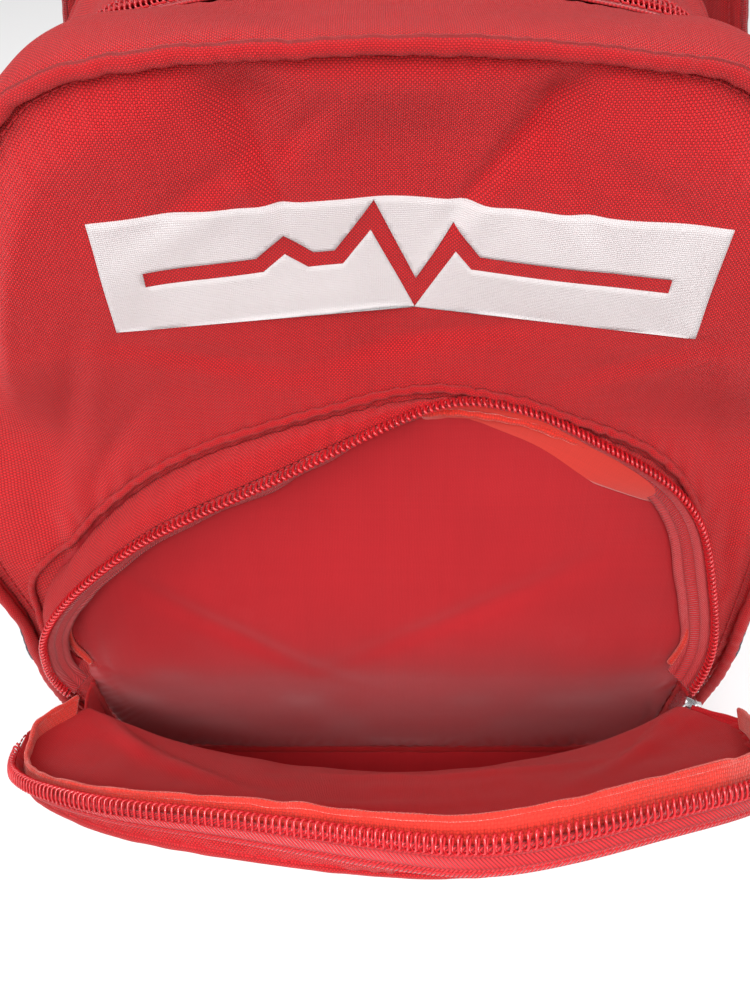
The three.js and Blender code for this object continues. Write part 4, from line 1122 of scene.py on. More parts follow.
# strip from the panel to the zip
steps = np.linspace(0, 1, 27)
swell = eased([(0, 1), (0.15, 1.5), (0.3, 1.2), (0.5, 1.5), (0.65, 3.2), (0.85, 3.6), (1, 1.5)])
face, uv, away = ruled(seam, body_rim(POS, tape_end - 0.8, -0.3), steps,
                       np.sin(np.pi * steps) * swell(POS)[:, None], seed=91)
place(sheet("pocket_upper_gusset_cloth", face, 1.4, CLOTH_LINED, away, uv),
      "main", "pocket_upper_gusset")

# welted seam round the mouth on the front panel
pos = np.linspace(0.045, 0.955, 620)
length = pos * MOUTH_L
radius = 1.75 + 0.14 * np.sin(length * 1.1) + 0.16 * noise(length / 9, 0, 14)
place(tube("pocket_piping_cord", mouth_on_panel(pos, -1.2, 3.2, 2.2), radius, "red_weave_bias",
           sides=12), "main", "pocket_piping")
# bound seam allowance inside the pocket, along the panel
place(tube("pocket_inner_seam_binding", mouth_on_panel(POS, -9.5, 1.0, 3.0),
           1.5 + 0.25 * noise(POS * 60, 0, 15), "binding_fuzzy"), "main")

# ---------------------------------------------------------------- lower part of the pocket
FRONT_INSET = 1.8          # the front cloth stops this far inside the pocket's half width
LOWER_TOP_Z = 95.0
GUSSET_DEPTH = 38          # nominal, for puckers and UV


def lip_weight(x):
    return np.clip(1 - (x / 146.0) ** 2, 0, 1)


def lower_front_y(x, z):
    return (HINGE_Y - 36.0 * lip_weight(x) * smooth((z - POCKET_Z0) / 74.0)
            - 5 * lip_weight(x) * np.sin(np.pi * np.clip((z - 15) / 90, 0, 1)))


def bottom_z(x):
    share = np.clip(np.abs(x) - (POCKET_W - POCKET_CORNER), 0, None) / POCKET_CORNER
    return POCKET_Z0 + POCKET_CORNER * (1 - np.sqrt(np.clip(1 - np.minimum(1, share) ** 2, 0, 1)))


side, up = np.meshgrid(end_crowded(181), np.linspace(0, 1, 61), indexing="ij")
base_x = side * (POCKET_W - FRONT_INSET)
base_z = np.minimum(bottom_z(base_x) + 0.4, POCKET_Z0 + POCKET_CORNER)
z = base_z + (LOWER_TOP_Z - base_z) * up
x = base_x - side * 9 * smooth((z - 80) / 22)
folds = (1.6 * gauss(x, z, -60, 60, 50, 7, 0.25) + 1.4 * gauss(x, z, 70, 55, 45, 7, -0.3)
         + 1.0 * noise(x / 40, z / 26, 95) + 0.4 * noise(x / 14, z / 14, 96))
to_seam = np.minimum(z - base_z, POCKET_W - FRONT_INSET - np.abs(base_x))
y = (lower_front_y(x, z) + folds * smooth(to_seam / 16)
     + 1.4 * near(np.maximum(to_seam, 0), 3.5))
place(sheet("pocket_lower_front_cloth", np.stack([x, y, z], -1), 1.5, CLOTH, [0, -1, 0],
            uv_of(x, z)), "main", "pocket_lower_front")

# U-shaped outline from the right top, below the pocket, to the left top, as (x, z)
corner_z = POCKET_Z0 + POCKET_CORNER
half = [(POCKET_W, z) for z in np.arange(HINGE_Z - 14, corner_z + 4, -6.0)]
half += [(POCKET_W - POCKET_CORNER + POCKET_CORNER * math.cos(angle),
          corner_z - POCKET_CORNER * math.sin(angle)) for angle in np.linspace(0, np.pi / 2, 13)]
half += [(x, POCKET_Z0) for x in (90, 70, 50, 30, 15, 0)]
around, length = resample(half + [(-x, z) for x, z in half[-2::-1]], step=2.0, soften=2)
x, z = around.T
run_x, run_z = np.gradient(x), np.gradient(z)
run = np.hypot(run_x, run_z)
out_x, out_z = -run_z / run, run_x / run
outward = np.sign((out_x * x + out_z * (z - 80)).mean())
out_x, out_z = out_x * outward, out_z * outward
back_y = slump(0, FRONT_Y, z)[:, 1]
front_y = lower_front_y(x * 0.988, z)


def lower_gusset_row(step):
    edges = near(step * GUSSET_DEPTH, 5) + near((1 - step) * GUSSET_DEPTH, 5)
    off = (1.2 * np.sin(np.pi * step) + 0.7 * noise(length / 24, step * 3, 97)
           + 0.4 * np.sin(length * 0.8) * edges)
    return np.stack([x + out_x * off, lerp(back_y - 0.4, front_y + 1.0, step),
                     np.maximum(z + out_z * off, 12.0)], -1)


steps = np.linspace(0, 1, 33)
place(sheet("pocket_lower_gusset_cloth", rows(steps, lower_gusset_row), 1.5, CLOTH,
            np.stack([out_x, 0 * out_x, out_z], -1)[:, None],
            uv_of(length[:, None], steps * GUSSET_DEPTH)), "main", "pocket_lower_gusset")
# welts along its front edge and where it meets the panel
place(tube("pocket_lower_welt", np.stack([x - out_x * 0.6, front_y - 1.0, z - out_z * 0.6], -1),
           1.7 + 0.2 * noise(length / 9, 0, 16), "red_weave_bias", sides=12), "main")
place(tube("pocket_base_seam_welt", np.stack([x - out_x, back_y - 2.6, z - out_z], -1),
           1.8 + 0.3 * noise(length / 8, 0, 18), "red_weave_bias"), "main")

# ---------------------------------------------------------------- flap
# folds on the flap: x, distance up the cloth, length, width, turn in radians, depth
FLAP_FOLDS = [(-90, 60, 40, 6, 0.5, 2.2), (30, 50, 60, 6, 0.1, 2.0), (110, 60, 34, 6, -0.6, 2.2),
              (-30, 95, 50, 7, -0.15, 1.6), (-120, 40, 24, 5, 0.9, 2.0),
              (125, 40, 24, 5, -0.9, 2.0)]
BELOW_FOLD = 11            # rows of the flap's cloth below its hinge line


def hinge_x(pos):
    return 139 * (1 - 2 * pos) - 5 * smooth((pos - 0.6) / 0.4)


def flap_surface(pos, share):
    """Opened face of the flap, from the hinge line (share 0) to its outline (share 1)."""
    pos, share = np.broadcast_arrays(pos, share)
    rim_x, rim_up = mouth(pos, -5.8)
    rim_z = np.maximum(HINGE_Z + MOUTH_UP[2] * rim_up, HINGE_Z + 3.5)
    x, z = lerp(hinge_x(pos), rim_x, share), lerp(HINGE_Z + 1.5, rim_z, share)
    face_y = HINGE_Y + 34 * np.clip((z - HINGE_Z) / (RIM_TOP_Z - HINGE_Z), 0, 1) ** 1.2
    points = turned(np.stack([x, face_y - flap_forward(pos) * 0.55 * share, z], -1))
    belly = 36.0 * lip_weight(x) * (1 - share) ** 2
    points[..., 1] -= 0.80 * belly
    points[..., 2] -= 0.06 * belly
    return points


pos = np.linspace(0, 1, 361)
share = np.linspace(0, 1, 66) ** 0.92
x = hinge_x(pos)
below = rows(np.linspace(0, 1, BELOW_FOLD + 1)[:-1], lambda step: np.stack(
    [x * (1 - 0.006 * (1 - step)),
     lower_front_y(x, min(lerp(93.5, 110.0, step), 108)) - 0.3,
     np.full_like(x, lerp(93.5, 110.0, step))], -1))
face = np.concatenate([below, flap_surface(pos[:, None], share[None, :])], 1)
for _ in range(26):   # round the fold
    rounded = face.copy()
    rounded[:, 2:34] = 0.5 * face[:, 2:34] + 0.25 * (face[:, 1:33] + face[:, 3:35])
    face = rounded
cloth_up = np.linalg.norm(np.diff(face, axis=1), axis=-1)
cloth_up = np.concatenate([np.zeros((len(pos), 1)), np.cumsum(cloth_up, axis=1)], 1)
x = face[..., 0]
folds = 1.1 * noise(x / 45, cloth_up / 30, 101) + 0.45 * noise(x / 15, cloth_up / 15, 102)
for mid_x, mid_up, size, width, turn, depth in FLAP_FOLDS:
    folds += depth * gauss(x, cloth_up, mid_x, mid_up, size, width, turn)
folds = folds * smooth((1 - np.concatenate([np.zeros(BELOW_FOLD), share])) / 0.15)
outside = -1.0 if looks_away(face, [0, -1, 0]) else 1.0
uv = uv_of(x, cloth_up)
face = face - outside * grid_normals(face) * folds[..., None]
place(sheet("flap_panel_cloth", face, 1.5, CLOTH, [0, -1, 0], uv), "fold", "flap_panel")

flap_in = turned((MOUTH_IN + [0, HINGE_Y, HINGE_Z])[None])[0] - [0, HINGE_Y, HINGE_Z]
flap_out = unit(flap_rim(POS, 0.0, 1.0) - flap_rim(POS, 0.0, 0.0))
flap_edge = flap_surface(POS, 0.992)
room = np.abs(((flap_edge - flap_rim(POS, 0.0)) * flap_in).sum(-1))
tape_end = np.minimum(14.0, 0.66 * room + 1.0)

zipped = slice(20, 388)      # stretch of the rim that carries the coil
place(coil("flap_coil_teeth", flap_rim(POS, -3.1, 0.4)[zipped], flap_in, flap_out[zipped],
           pitch=2.75, reach=3.0, height=1.35, wire=0.48, steps=14), "fold", "flap_coil")
steps = np.linspace(0, 1, 11)
face = rows(steps, lambda step: flap_rim(POS, -(3.8 + (tape_end - 3.8) * step),
                                         -0.6 + 0.7 * np.sin(0.5 * np.pi * step)))
place(sheet("flap_tape_woven", face, 0.7, "zip_tape", flap_out[:, None],
            uv_of(ROUND_COL, steps * 10.5)), "fold", "flap_tape")
place(stitches("flap_tape_stitching", flap_rim(POS, -6.6, -0.2), flap_out,
               length=2.4, spacing=3.2, lift=0.15), "fold")
place(stitches("flap_edge_stitching", flap_rim(POS, -(tape_end - 1.4)), flap_out,
               length=2.4, spacing=3.2, lift=0.2), "fold")
steps = np.linspace(0, 1, 21)
face, uv, _ = ruled(flap_edge, flap_rim(POS, -(tape_end - 2.2), -1.1), steps,
                    1.1 * np.sin(np.pi * steps) * (1 - steps), seed=111)
place(sheet("flap_gusset_cloth", face, 1.4, CLOTH, flap_out[:, None], uv), "fold", "flap_gusset")

# bound seam allowance on the inner side, standing up behind the coil
bound = slice(21, None)
stand = eased([
    (0, 2), (0.08, 3), (0.15, 6.5), (0.3, 6.0), (0.5, 3.0), (0.62, 1.5), (0.75, 0.0),
    (0.85, -0.5), (0.93, 4.5), (1, 5.0)])(POS)
waver = 0.6 * noise(POS * 50, 0, 121) + 0.5 * noise(POS * 21, 0, 122)
face = rows(np.linspace(0, 1, 8), lambda step: flap_rim(
    POS, -6.5 + (6.0 + stand + waver * 0.8) * step, -4.2 - 1.2 * step + waver * 0.5))
place(sheet("flap_binding_tape", face[bound], 1.6, "binding_fuzzy", flap_out[bound, None]),
      "fold", "flap_binding")
line = flap_rim(POS, -0.5 + stand + waver * 0.8, -6.0 + waver * 0.5)[bound]
place(tube("flap_binding_roll", line, 1.25 + 0.25 * noise(POS[bound] * 80, 0, 123),
           "binding_fuzzy"), "fold")
# welt between the flap's face and its edge strip
place(tube("flap_edge_welt", flap_edge + 0.3 * flap_out, 1.3 + 0.15 * noise(POS * 70, 0, 124),
           "red_weave_bias"), "fold")

# ---------------------------------------------------------------- printed band with a pulse line
LABEL_W, LABEL_H, LABEL_X, LABEL_Z = 106.0, 22.0, 5.0, 321.8     # half sizes and middle
# middle of the pulse line, left open in the print: (x, z) from the band's middle
PULSE = [(-92, 0), (-52, 0), (-43, 7), (-34, 0), (-24, 0), (-12, 15.5), (4, -16), (17, 9),
         (25, 0), (92, 0)]
PULSE_HALF, MITRE_LIMIT = 3.0, 2.2


def left_normal(start, end):
    length = math.hypot(end[0] - start[0], end[1] - start[1])
    return (-(end[1] - start[1]) / length, (end[0] - start[0]) / length)


def pulse_hole():
    """Loop round the pulse line, mitred at its corners."""
    upper, lower = [], []
    for i, point in enumerate(PULSE):
        first, last = i == 0, i == len(PULSE) - 1
        after = None if last else left_normal(point, PULSE[i + 1])
        before = after if first else left_normal(PULSE[i - 1], point)
        after = before if last else after
        mid_x, mid_z = before[0] + after[0], before[1] + after[1]
        length = math.hypot(mid_x, mid_z)
        mid_x, mid_z = mid_x / length, mid_z / length
        mitre = min(MITRE_LIMIT, 1 / (mid_x * before[0] + mid_z * before[1]))
        off_x, off_z = mid_x * PULSE_HALF * mitre, mid_z * PULSE_HALF * mitre
        upper.append((point[0] + off_x, point[1] + off_z))
        lower.append((point[0] - off_x, point[1] - off_z))
    return upper + lower[::-1]


def dense(loop, step):
    points = []
    for i, start in enumerate(loop):
        end = loop[(i + 1) % len(loop)]
        count = max(1, int(math.hypot(end[0] - start[0], end[1] - start[1]) / step))
        points += [(lerp(start[0], end[0], j / count), lerp(start[1], end[1], j / count))
                   for j in range(count)]
    return points


def inside_loop(x, z, loop):
    result = np.zeros(x.shape, bool)
    for i, (start_x, start_z) in enumerate(loop):
        end_x, end_z = loop[(i + 1) % len(loop)]
        cross_x = (end_x - start_x) * (z - start_z) / (end_z - start_z + 1e-12) + start_x
        result ^= ((start_z > z) != (end_z > z)) & (x < cross_x)
    return result


def loop_edges(start, count):
    return [(start + i, start + (i + 1) % count) for i in range(count)]


def label_triangles():
    """Triangulated flat band round the hole: its points and triangles."""
    hole = pulse_hole()
    corners = [(-LABEL_W, -LABEL_H), (LABEL_W, -LABEL_H), (LABEL_W, LABEL_H), (-LABEL_W, LABEL_H)]
    outer, inner = dense(corners, 2.0), dense(hole, 1.8)
    grid_x, grid_z = np.meshgrid(np.arange(-LABEL_W + 1.6, LABEL_W - 1.2, 2.0),
                                 np.arange(-LABEL_H + 1.6, LABEL_H - 1.2, 1.9))
    fill = np.stack([grid_x.ravel(), grid_z.ravel()], 1)
    fill = fill[~inside_loop(fill[:, 0], fill[:, 1], hole)]
    rim_points = np.array(inner)
    gap = np.hypot(fill[:, None, 0] - rim_points[None, :, 0],
                   fill[:, None, 1] - rim_points[None, :, 1])
    fill = fill[np.min(gap, 1) > 0.9]
    points = [Vector(point) for point in (*outer, *inner, *fill)]
    edges = loop_edges(0, len(outer)) + loop_edges(len(outer), len(inner))
    found = geometry.delaunay_2d_cdt(points, edges, [], 0, 1e-5)
    verts = np.array([tuple(vert) for vert in found[0]])
    tris = np.array([tri for tri in found[2] if len(tri) == 3])
    middle = verts[tris].mean(1)
    tris = tris[~inside_loop(middle[:, 0], middle[:, 1], hole)]
    used = np.unique(tris)
    new_index = -np.ones(len(verts), int)
    new_index[used] = np.arange(len(used))
    return verts[used], new_index[tris]


flat, tris = label_triangles()
x, z = flat[:, 0] + LABEL_X, flat[:, 1] + LABEL_Z
probe = 0.6     # reach of the slope measurement
normal = unit(np.cross(panel_point(x + probe, z) - panel_point(x - probe, z),
                       panel_point(x, z + probe) - panel_point(x, z - probe)))
normal *= np.where(normal[:, 1:2] > 0, -1, 1)
middle = panel_point(x, z)
top, bottom, count = middle + normal * 0.55, middle - normal * 0.25, len(flat)
turn = np.cross(top[tris[:, 1]] - top[tris[:, 0]], top[tris[:, 2]] - top[tris[:, 0]])
wrong = (turn * normal[tris[:, 0]]).sum(1) < 0
tris = np.where(wrong[:, None], tris[:, ::-1], tris)
halves = dict.fromkeys((tri[i], tri[(i + 1) % 3]) for tri in tris for i in range(3))
sides = [[end, start, start + count, end + count]
         for start, end in halves if (end, start) not in halves]
place(new_mesh("label_print_film", np.concatenate([top, bottom]),
               np.concatenate([np.stack([x, z], 1)] * 2), "white_print", sides,
               np.concatenate([tris, tris[:, ::-1] + count])), "main", "label_print")

# ---------------------------------------------------------------- back panel, lining and base
QUILT_ROWS = (103, 166, 229)


def back_point(x, z):
    """Back panel with puffed channels between its quilting lines."""
    puffed = smooth((92 - np.abs(x)) / 8) * smooth((z - 40) / 10) * smooth((292 - z) / 10)
    puffed = puffed * (1 - near(np.abs(x), 5.0))
    for row_z in QUILT_ROWS:
        puffed = puffed * (1 - near(z - row_z, 4.0))
    points = slump(x, BACK_Y, z)
    points[..., 1] += 2.9 * puffed + 0.7 * noise(x / 40, z / 40, 131) * smooth((300 - z) / 30)
    return points


face, flat_x, flat_z, _, share = radial_panel(420, 120, 170.0, back_point, inset=1.6)
face[..., 1] -= 1.6 * near((1 - share) * 170, 5.0)
place(disc("back_panel_cloth", face, 2.2, ("foam_cover", "red_inner"), uv_of(flat_x, flat_z),
           facing=[0, 1, 0]), "shell", "back_panel")

x = np.linspace(-88, 88, 200)
quilting = [(i + 1, x, np.full(200, float(z))) for i, z in enumerate(QUILT_ROWS)]
for tag, x, z in quilting + [("centre", np.zeros(260), np.linspace(44, 288, 260))]:
    place(stitches(f"back_quilt_stitching_{tag}", back_point(x, z) + [0, 0.15, 0],
                   [0, 1.0, 0.05]), "shell")


def lining_point(x, z):
    points = slump(x, BACK_Y - 8.0, z)
    points[..., 1] -= 0.8 * noise(x / 50, z / 40, 141) + 0.4 * noise(x / 18, z / 18, 142)
    return points


# the lining's darker colour is painted shade
face, flat_x, flat_z, _, _ = radial_panel(260, 60, 190.0, lining_point, inset=15.0)
place(disc("back_foam_lining", face, 3.0, "red_lining", uv_of(flat_x, flat_z),
           facing=[0, -1, 0]), "shell", "back_foam")

# base board: half width, half depth, middle, corner size
BOARD_X, BOARD_Y, BOARD_MID_Y, BOARD_CORNER = 107.0, 78.0, -17, 8.0
x, y = np.meshgrid(end_crowded(41) * BOARD_X, BOARD_MID_Y + end_crowded(41) * BOARD_Y,
                   indexing="ij")
corner = np.hypot(np.clip(np.abs(x) - (BOARD_X - BOARD_CORNER), 0, None),
                  np.clip(np.abs(y - BOARD_MID_Y) - (BOARD_Y - BOARD_CORNER), 0, None))
z = 6.2 + 0.25 * noise(x / 40, y / 40, 145) - 0.8 * np.clip(corner / BOARD_CORNER, 0, 1) ** 3
place(sheet("base_board", np.stack([x, y, z], -1), 2.6, "board_grey", [0, 0, 1], uv_of(x, y)),
      "shell", "base_stiffener")

# ---------------------------------------------------------------- mesh pockets on the sides
SIDE_WIDTHS = np.array(SIDE_OUTLINE[2:])
NET_W = 148     # width of the net in its UV


def stand_off(share, up):
    """How far the pocket stands off the side, across its width and up its height."""
    arch = np.clip(np.sin(np.pi * np.clip(share, 0, 1)), 0, 1)
    return 1.0 + 8.2 * arch ** 0.32 * (0.25 + 0.75 * up)


def top_dip(share):
    return 7.5 * np.clip(np.sin(np.pi * share), 0, 1) ** 0.45


def side_pocket_point(side, share, z, off):
    half_width = np.interp(z, SIDE_WIDTHS[:, 1], SIDE_WIDTHS[:, 0])
    points = slump(side * (half_width + 0.4 + off), lerp(FRONT_Y + 1.6, BACK_Y - 4.2, share), z)
    far = np.abs(points[..., 0])
    points[..., 0] = side * np.where(far > 186, 186 + 10.5 * np.tanh((far - 186) / 10.5), far)
    return points


def side_pocket(side, tag):
    share, up = np.meshgrid(np.linspace(0, 1, 81), np.linspace(0, 1, 61), indexing="ij")
    z = lerp(19.0, 114.5 - top_dip(share), up)
    gathers = 0.7 * np.sin(share * 62 + 3 * noise(share * 5, up * 2, 153)) * up ** 2
    waves = 1.1 * noise(share * 9, up * 3, 151 + side) + gathers
    off = stand_off(share, up) + waves * np.sin(np.pi * share) ** 0.5
    place(sheet(f"mesh_pocket_{tag}_net", side_pocket_point(side, share, z, np.maximum(off, 0.6)),
                0.8, "knit_mesh", [side, 0, 0], uv_of(share * NET_W, z)),
          "shell", f"mesh_pocket_{tag}")
    # gathered elastic binding folded over the top edge
    angle = np.linspace(0, 2 * np.pi, 19)[:-1]
    share = np.linspace(0, 1, 170)[:, None]
    gather = 1 + 0.10 * np.sin(share * 210) + 0.08 * noise(share * 40, 0, 155)
    mid_z = 117.5 - top_dip(share) + 0.5 * noise(share * 6, 0, 156)
    rings = side_pocket_point(
        side, share, mid_z + 5.6 * signed_power(np.sin(angle), 0.55),
        stand_off(share, 1.0) + 0.6 + 1.45 * signed_power(np.cos(angle), 0.6) * gather)
    place(loft(f"mesh_trim_{tag}_elastic", rings, uv_of(share * NET_W, np.arange(18) * 1.2),
               "elastic_black", rings[[0, -1]].mean(1), [[0, 0], [NET_W, 0]], flip=side < 0),
          "shell", f"mesh_trim_{tag}")
    hem = side_pocket_point(side, np.linspace(0, 1, 200), 18.6, 1.3)
    place(tube(f"mesh_pocket_{tag}_hem", hem, 1.35, "elastic_black", sides=8, tall=1.5), "shell")


side_pocket(-1, "left")
side_pocket(1, "right")


# ---------------------------------------------------------------- grab handle
def spline(points, shares):
    """Centripetal spline through the points at shares 0..1."""
    points = np.array(points, float)
    spans = len(points) - 1
    found = []
    for share in shares:
        at = min(max(share, 0), 1) * spans
        i = min(int(at), spans - 1)
        part = at - i
        start, end = points[i], points[i + 1]
        before = points[i - 1] if i > 0 else 2 * points[0] - points[1]
        after = points[i + 2] if i + 2 <= spans else 2 * points[-1] - points[-2]
        gap_in, gap, gap_out = [max(np.linalg.norm(two - one) ** 0.5, 1e-4)
                                for one, two in ((before, start), (start, end), (end, after))]
        leave = ((start - before) / gap_in - (end - before) / (gap_in + gap)
                 + (end - start) / gap) * gap
        arrive = ((end - start) / gap - (after - start) / (gap + gap_out)
                  + (after - end) / gap_out) * gap
        found.append(start + leave * part
                     + (-3 * start + 3 * end - 2 * leave - arrive) * part ** 2
                     + (2 * start - 2 * end + leave + arrive) * part ** 3)
    return np.array(found)


HANDLE_Z = 352.0
# right half of the handle from its top to its foot: x, distance behind the panel, z
HANDLE_HALF = [(39, 9, 437), (54, 8, 408), (56, 4, HANDLE_Z + 26), (56, 0, HANDLE_Z - 3)]


def grab_handle():
    points = [(-x, y, z) for x, y, z in HANDLE_HALF[::-1]] + [(0, 9, 452)] + HANDLE_HALF
    curve = spline(points, np.linspace(0, 1, 220))
    tangent = unit(np.gradient(curve, axis=0))
    across = unit(np.cross(tangent, [0, 1.0, 0]))
    # the webbing turns a quarter on its way up
    turn = smooth((curve[:, 2] - 398) / 36)[:, None] * np.pi / 2
    side = np.where(curve[:, 0] < 0, 1, -1)[:, None]
    wide = unit(across * np.cos(turn) + np.array([0, 1.0, 0]) * side * np.sin(turn))
    for i in range(1, len(wide)):
        if (wide[i] * wide[i - 1]).sum() < 0:
            wide[i] *= -1
    thick = unit(np.cross(tangent, wide))
    base_y = float(slump(0.0, BACK_Y, HANDLE_Z)[1])
    line = np.stack([curve[:, 0], base_y + 7.4 + curve[:, 1] * 0.5, curve[:, 2]], 1)
    place(band("grab_handle_webbing", line, wide, thick, 16.0, 1.35), "handle", "grab_handle")
    for i, side in enumerate((-1, 1)):
        place(stitches(f"grab_handle_stitching_{i + 1}",
                       line + wide * (side * 13.0) + thick * 1.45, thick, lift=0.05), "handle")


grab_handle()

# ---------------------------------------------------------------- shoulder straps
WEBBING_HALF, WEBBING_THICK = 12.5, 0.95     # half width and half thickness
TAIL_L = 74


def pad_puff(share, side):
    """Thickness of the pad: thin at its edges and along its stitch lines."""
    side_far = np.abs(side)
    edge = 1 - 0.45 * side_far ** 3
    stitched = 1 - 0.30 * near(side_far - 0.80, 0.07)
    pucker = (1 + 0.05 * np.sin(share * 150) * near(side_far - 0.86, 0.12)
              + 0.08 * noise(share * 16, side * 2, 161))
    return edge * stitched * pucker


def strap(side, tag, rest_turn):
    """One strap with its pad and webbing; rest_turn is how far back its bow turns, in degrees."""
    part = f"strap_{tag}"
    top, foot = np.array([side * 99.0, 94, 330]), np.array([side * 129.0, 94, 34])
    axis = unit(top - foot)
    outward = unit(np.array([side * 1.0, 0, 0]) - axis * axis[0] * side)
    backward = unit(np.cross(axis, outward))
    if backward[1] < 0:
        backward = -backward
    angle = math.radians(rest_turn)
    bow = unit(outward * math.cos(angle) + backward * math.sin(angle))
    flat = unit(np.cross(axis, bow))
    lie = outward * (-1 if flat @ outward < 0 else 1)
    height = float(np.linalg.norm(top - foot))

    def at(up, off):
        return foot + axis * up + bow * off

    def bands(line, lying):
        """Width and thickness axes of a band whose width lies against the bag where told."""
        wide = unit(flat * (1 - lying)[:, None] + lie * lying[:, None])
        return wide, unit(np.cross(unit(np.gradient(line, axis=0)), wide))

    # pad, as (height below the top, distance off the line from foot to top)
    pad = [at(height + up, off) for up, off in (
        (-2, 7), (22, 22), (18, 46), (-30, 66), (-90, 76), (-150, 74), (-186, 66))]
    share = np.linspace(0, 1, 200)
    line = spline(pad, share)
    wide, thick = bands(line, 1 - smooth(share / 0.45))
    half_wide = 31.0 * (1 - 0.45 * smooth((share - 0.72) / 0.28)) * (
        0.74 + 0.26 * smooth(share / 0.3))
    half_thick = 5.4 * np.minimum(1, 0.35 + 4 * np.minimum(share, 1 - share))
    name = f"shoulder_pad_{tag}"
    place(band(f"{name}_cover", line, wide, thick, half_wide, half_thick, "red_weave",
               puff=pad_puff, half_count=34), part, name)
    for i, edge in enumerate((-1, 1)):
        binding = (line + wide * (edge * half_wide * 0.985)[:, None])[3:-3]
        place(tube(f"{name}_binding_{i + 1}", binding, 1.9 + 0.2 * noise(share[3:-3] * 60, 0, 163),
                   "webbing_red", reference=(0.3, 0.9, 0.1)), part)
        for j, above in enumerate((-1, 1)):
            sewn = (line + wide * (edge * half_wide * 0.80)[:, None]
                    + thick * (above * half_thick * 0.60)[:, None])[6:-6]
            place(stitches(f"{name}_stitching_{i + 1}{j + 1}", sewn, (thick * above)[6:-6],
                           spacing=3.8, lift=0.15), part)
    # reinforcing webbing down the middle of the outer face
    outer = 1 if (thick[120] * bow).sum() > 0 else -1
    ribbon = line + thick * (outer * (half_thick + 0.35))[:, None]
    place(band(f"{name}_ribbon", ribbon[14:-4], wide[14:-4], thick[14:-4], WEBBING_HALF, 0.75),
          part)
    # adjuster webbing from below the pad to the foot
    web_top = at(height - 202, 60)
    web = spline([web_top, at(70, 34), at(36, 17), at(10, 4)],
                 lerp(0.085, 1.0, np.linspace(0, 1, 120)))
    web_wide, web_thick = bands(web, smooth((np.linspace(0, 1, 120) - 0.2) / 0.6))
    place(band(f"strap_webbing_{tag}_woven", web, web_wide, web_thick, WEBBING_HALF,
               WEBBING_THICK), part, f"strap_webbing_{tag}")
    # free tail; its upper end runs on through the lock and into the pad, so that it stays
    # threaded when it slides
    down = unit(web_top - line[-1])
    lock_mid = (line[-1] + web_top) / 2 + down
    tail_top = lock_mid + down * 9.2 - unit(np.cross(flat, down)) * 5.2
    tail_down = unit(down + np.array([0, 0, -0.25]))
    run = np.linspace(-0.43, 1, 129)
    hanging = np.clip(run, 0, 1)
    off = -2.2 - 3.0 * hanging ** 2 + 0.5 * np.sin(hanging * 9) + 5.0 * smooth(-run / 0.13)
    tail = (tail_top + tail_down * (run * TAIL_L)[:, None]
            + unit(np.cross(flat, tail_down)) * off[:, None])
    tail_wide = np.tile(flat, (len(run), 1))
    tail_thick = unit(np.cross(unit(np.gradient(tail, axis=0)), tail_wide))
    place(band(f"webbing_tail_{tag}_woven", tail, tail_wide, tail_thick, WEBBING_HALF,
               WEBBING_THICK), f"tail_{tag}", f"webbing_tail_{tag}")
    # folded end of the tail
    hem = slice(113, None)
    place(band(f"webbing_tail_{tag}_hem", tail[hem] + tail_thick[hem] * 1.6, tail_wide[hem],
               tail_thick[hem], WEBBING_HALF, 0.9, half_count=18), f"tail_{tag}")


strap(-1, "left", rest_turn=62.0)
strap(1, "right", rest_turn=40.0)


# ---------------------------------------------------------------- sliders, locks and anchors
def finish_node(node, name, mat, bevel, part, segments=3):
    """A piece that keeps its solid shape, with a finish and softened edges."""
    obj = link(name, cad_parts[node].data.copy())
    mesh = obj.data
    mesh.name = name
    mesh.materials.clear()
    mesh.materials.append(MATS[mat])
    if not mesh.uv_layers:
        mesh.uv_layers.new(name="UVMap")
    points = np.zeros(len(mesh.vertices) * 3, np.float32)
    mesh.vertices.foreach_get("co", points)
    points = points.reshape(-1, 3) * 1000
    corners = np.zeros(len(mesh.loops), np.int32)
    mesh.loops.foreach_get("vertex_index", corners)
    flat = points[corners][:, [0, 2]].astype(np.float32)
    mesh.uv_layers[0].data.foreach_set("uv", flat.ravel())
    mesh.uv_layers[0].name = "UVMap"
    for polygon in mesh.polygons:
        polygon.use_smooth = False
    weld = obj.modifiers.new("weld", "WELD")
    weld.merge_threshold = 0.00002
    dissolve = obj.modifiers.new("flat", "DECIMATE")
    dissolve.decimate_type = "DISSOLVE"
    dissolve.angle_limit = math.radians(4)
    soften = obj.modifiers.new("edge", "BEVEL")
    soften.width = bevel * 0.001
    soften.segments = segments
    soften.limit_method = "ANGLE"
    soften.angle_limit = math.radians(32)
    obj.modifiers.new("tri", "TRIANGULATE")
    depsgraph = bpy.context.evaluated_depsgraph_get()
    finished = bpy.data.meshes.new_from_object(obj.evaluated_get(depsgraph))
    obj.modifiers.clear()
    obj.data = finished
    finished.name = name
    finished.polygons.foreach_set("use_smooth", np.ones(len(finished.polygons), bool))
    finished.set_sharp_from_angle(angle=math.radians(38))
    place(obj, part, node)


finish_node("pocket_slider", "pocket_slider_body", "slider_metal", 0.35, "pocket_zip_slider")
finish_node("pocket_pull", "pocket_slider_pull", "slider_metal", 0.35, "pocket_zip_pull")
for tag in ("left", "right"):
    finish_node(f"main_slider_{tag}", f"main_slider_body_{tag}", "slider_metal", 0.35,
                f"main_zip_slider_{tag}")
    finish_node(f"main_pull_{tag}", f"main_slider_pull_{tag}", "slider_metal", 0.35,
                f"main_zip_pull_{tag}")
    finish_node(f"ladder_lock_{tag}", f"ladder_lock_frame_{tag}", "black_plastic", 0.6,
                f"strap_{tag}", segments=4)
    finish_node(f"strap_anchor_{tag}", f"strap_anchor_tab_{tag}", "red_weave", 0.8, "shell")

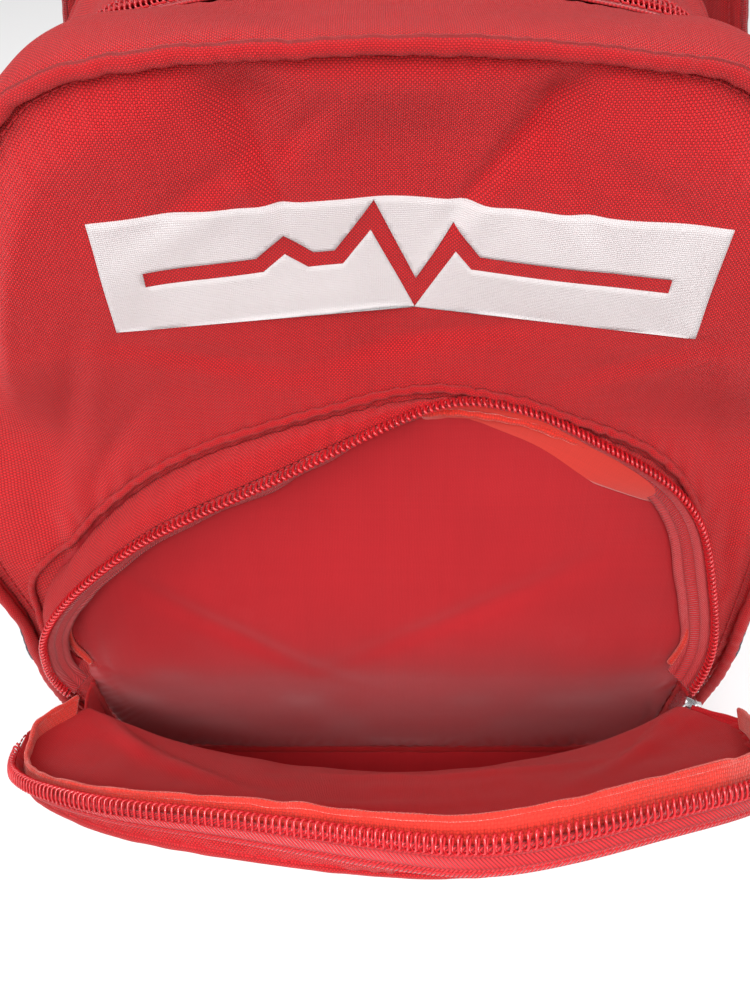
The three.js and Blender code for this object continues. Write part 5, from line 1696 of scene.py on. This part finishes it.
# ---------------------------------------------------------------- yoke
# band across the back where the straps and the handle are sewn in
YOKE_X, YOKE_Z0, YOKE_Z1, YOKE_SEAM = 100, 306, 347, 5
x, z = np.meshgrid(np.linspace(-YOKE_X, YOKE_X, 121), np.linspace(YOKE_Z0, YOKE_Z1, 31),
                   indexing="ij")
face = slump(x, BACK_Y, z)
edge = np.minimum(np.minimum(z - YOKE_Z0, YOKE_Z1 - z), np.minimum(x + YOKE_X, YOKE_X - x))
face[..., 1] += (0.9 + 2.2 * smooth(edge / 2.6) - 0.45 * near(edge - YOKE_SEAM, 1.3)
                 + 0.25 * noise(x / 12, z / 12, 171))
place(sheet("strap_yoke_cloth", face, 1.0, "red_weave", [0, 1, 0], uv_of(x, z)),
      "shell", "strap_yoke")
for i, z in enumerate((YOKE_Z0 + YOKE_SEAM, YOKE_Z1 - YOKE_SEAM)):
    line = slump(np.linspace(-95, 95, 160), BACK_Y, z) + [0, 2.9, 0]
    place(stitches(f"strap_yoke_stitching_{i + 1}", line, [0, 1.0, 0.1]), "shell")

# ---------------------------------------------------------------- floor, light and camera
# from here on places are in metres; the floor's grid is still in millimetres
x, y = np.meshgrid(*[np.linspace(-3000, 3000, 25)] * 2, indexing="ij")
sheet("floor", np.stack([x, y, np.full_like(x, -1.45)], -1), 20.0, "floor_pale",
               [0, 0, 1])

scene = bpy.context.scene
world = bpy.data.worlds.new("studio")
scene.world = world
world.use_nodes = True
background = world.node_tree.nodes["Background"]
background.inputs["Color"].default_value = (1.0, 0.99, 0.985, 1)
background.inputs["Strength"].default_value = 0.42


def aimed(name, light, at, target):
    obj = bpy.data.objects.new(name, light)
    obj.location = at
    direction = Vector(target) - Vector(at)
    obj.rotation_euler = direction.to_track_quat("-Z", "Y").to_euler()
    scene.collection.objects.link(obj)


def area(name, at, target, size, watts):
    light = bpy.data.lights.new(name, "AREA")
    light.energy = watts
    light.size = size
    aimed(name, light, at, target)


area("key_top_left", at=(-1.0, -0.55, 1.15), target=(0, -0.05, 0.25), size=0.8, watts=11.6)
area("fill_right", at=(1.1, -0.5, 0.9), target=(0, -0.05, 0.25), size=0.8, watts=6)
area("top_back", at=(0.25, 0.5, 1.5), target=(0, 0.0, 0.35), size=0.8, watts=6)
area("pocket_front", at=(-0.05, -0.75, 0.95), target=(0, -0.1, 0.10), size=0.5, watts=7.5)
spot = bpy.data.lights.new("pocket_low", "SPOT")
spot.energy = 11.0
spot.spot_size = math.radians(23)
spot.spot_blend = 1.0
spot.shadow_soft_size = 0.09
aimed("pocket_low", spot, at=(0.02, -0.55, 0.76), target=(0, -0.105, 0.085))

lens = bpy.data.cameras.new("camera")
lens.lens = 34.2
lens.sensor_width = 36.0
camera = link("camera", lens)
camera.location = (-0.006, -0.339, 0.537)
camera.rotation_euler = (math.radians(38.0), 0, 0)
scene.camera = camera
scene.view_settings.view_transform = "Standard"
scene.view_settings.look = "None"
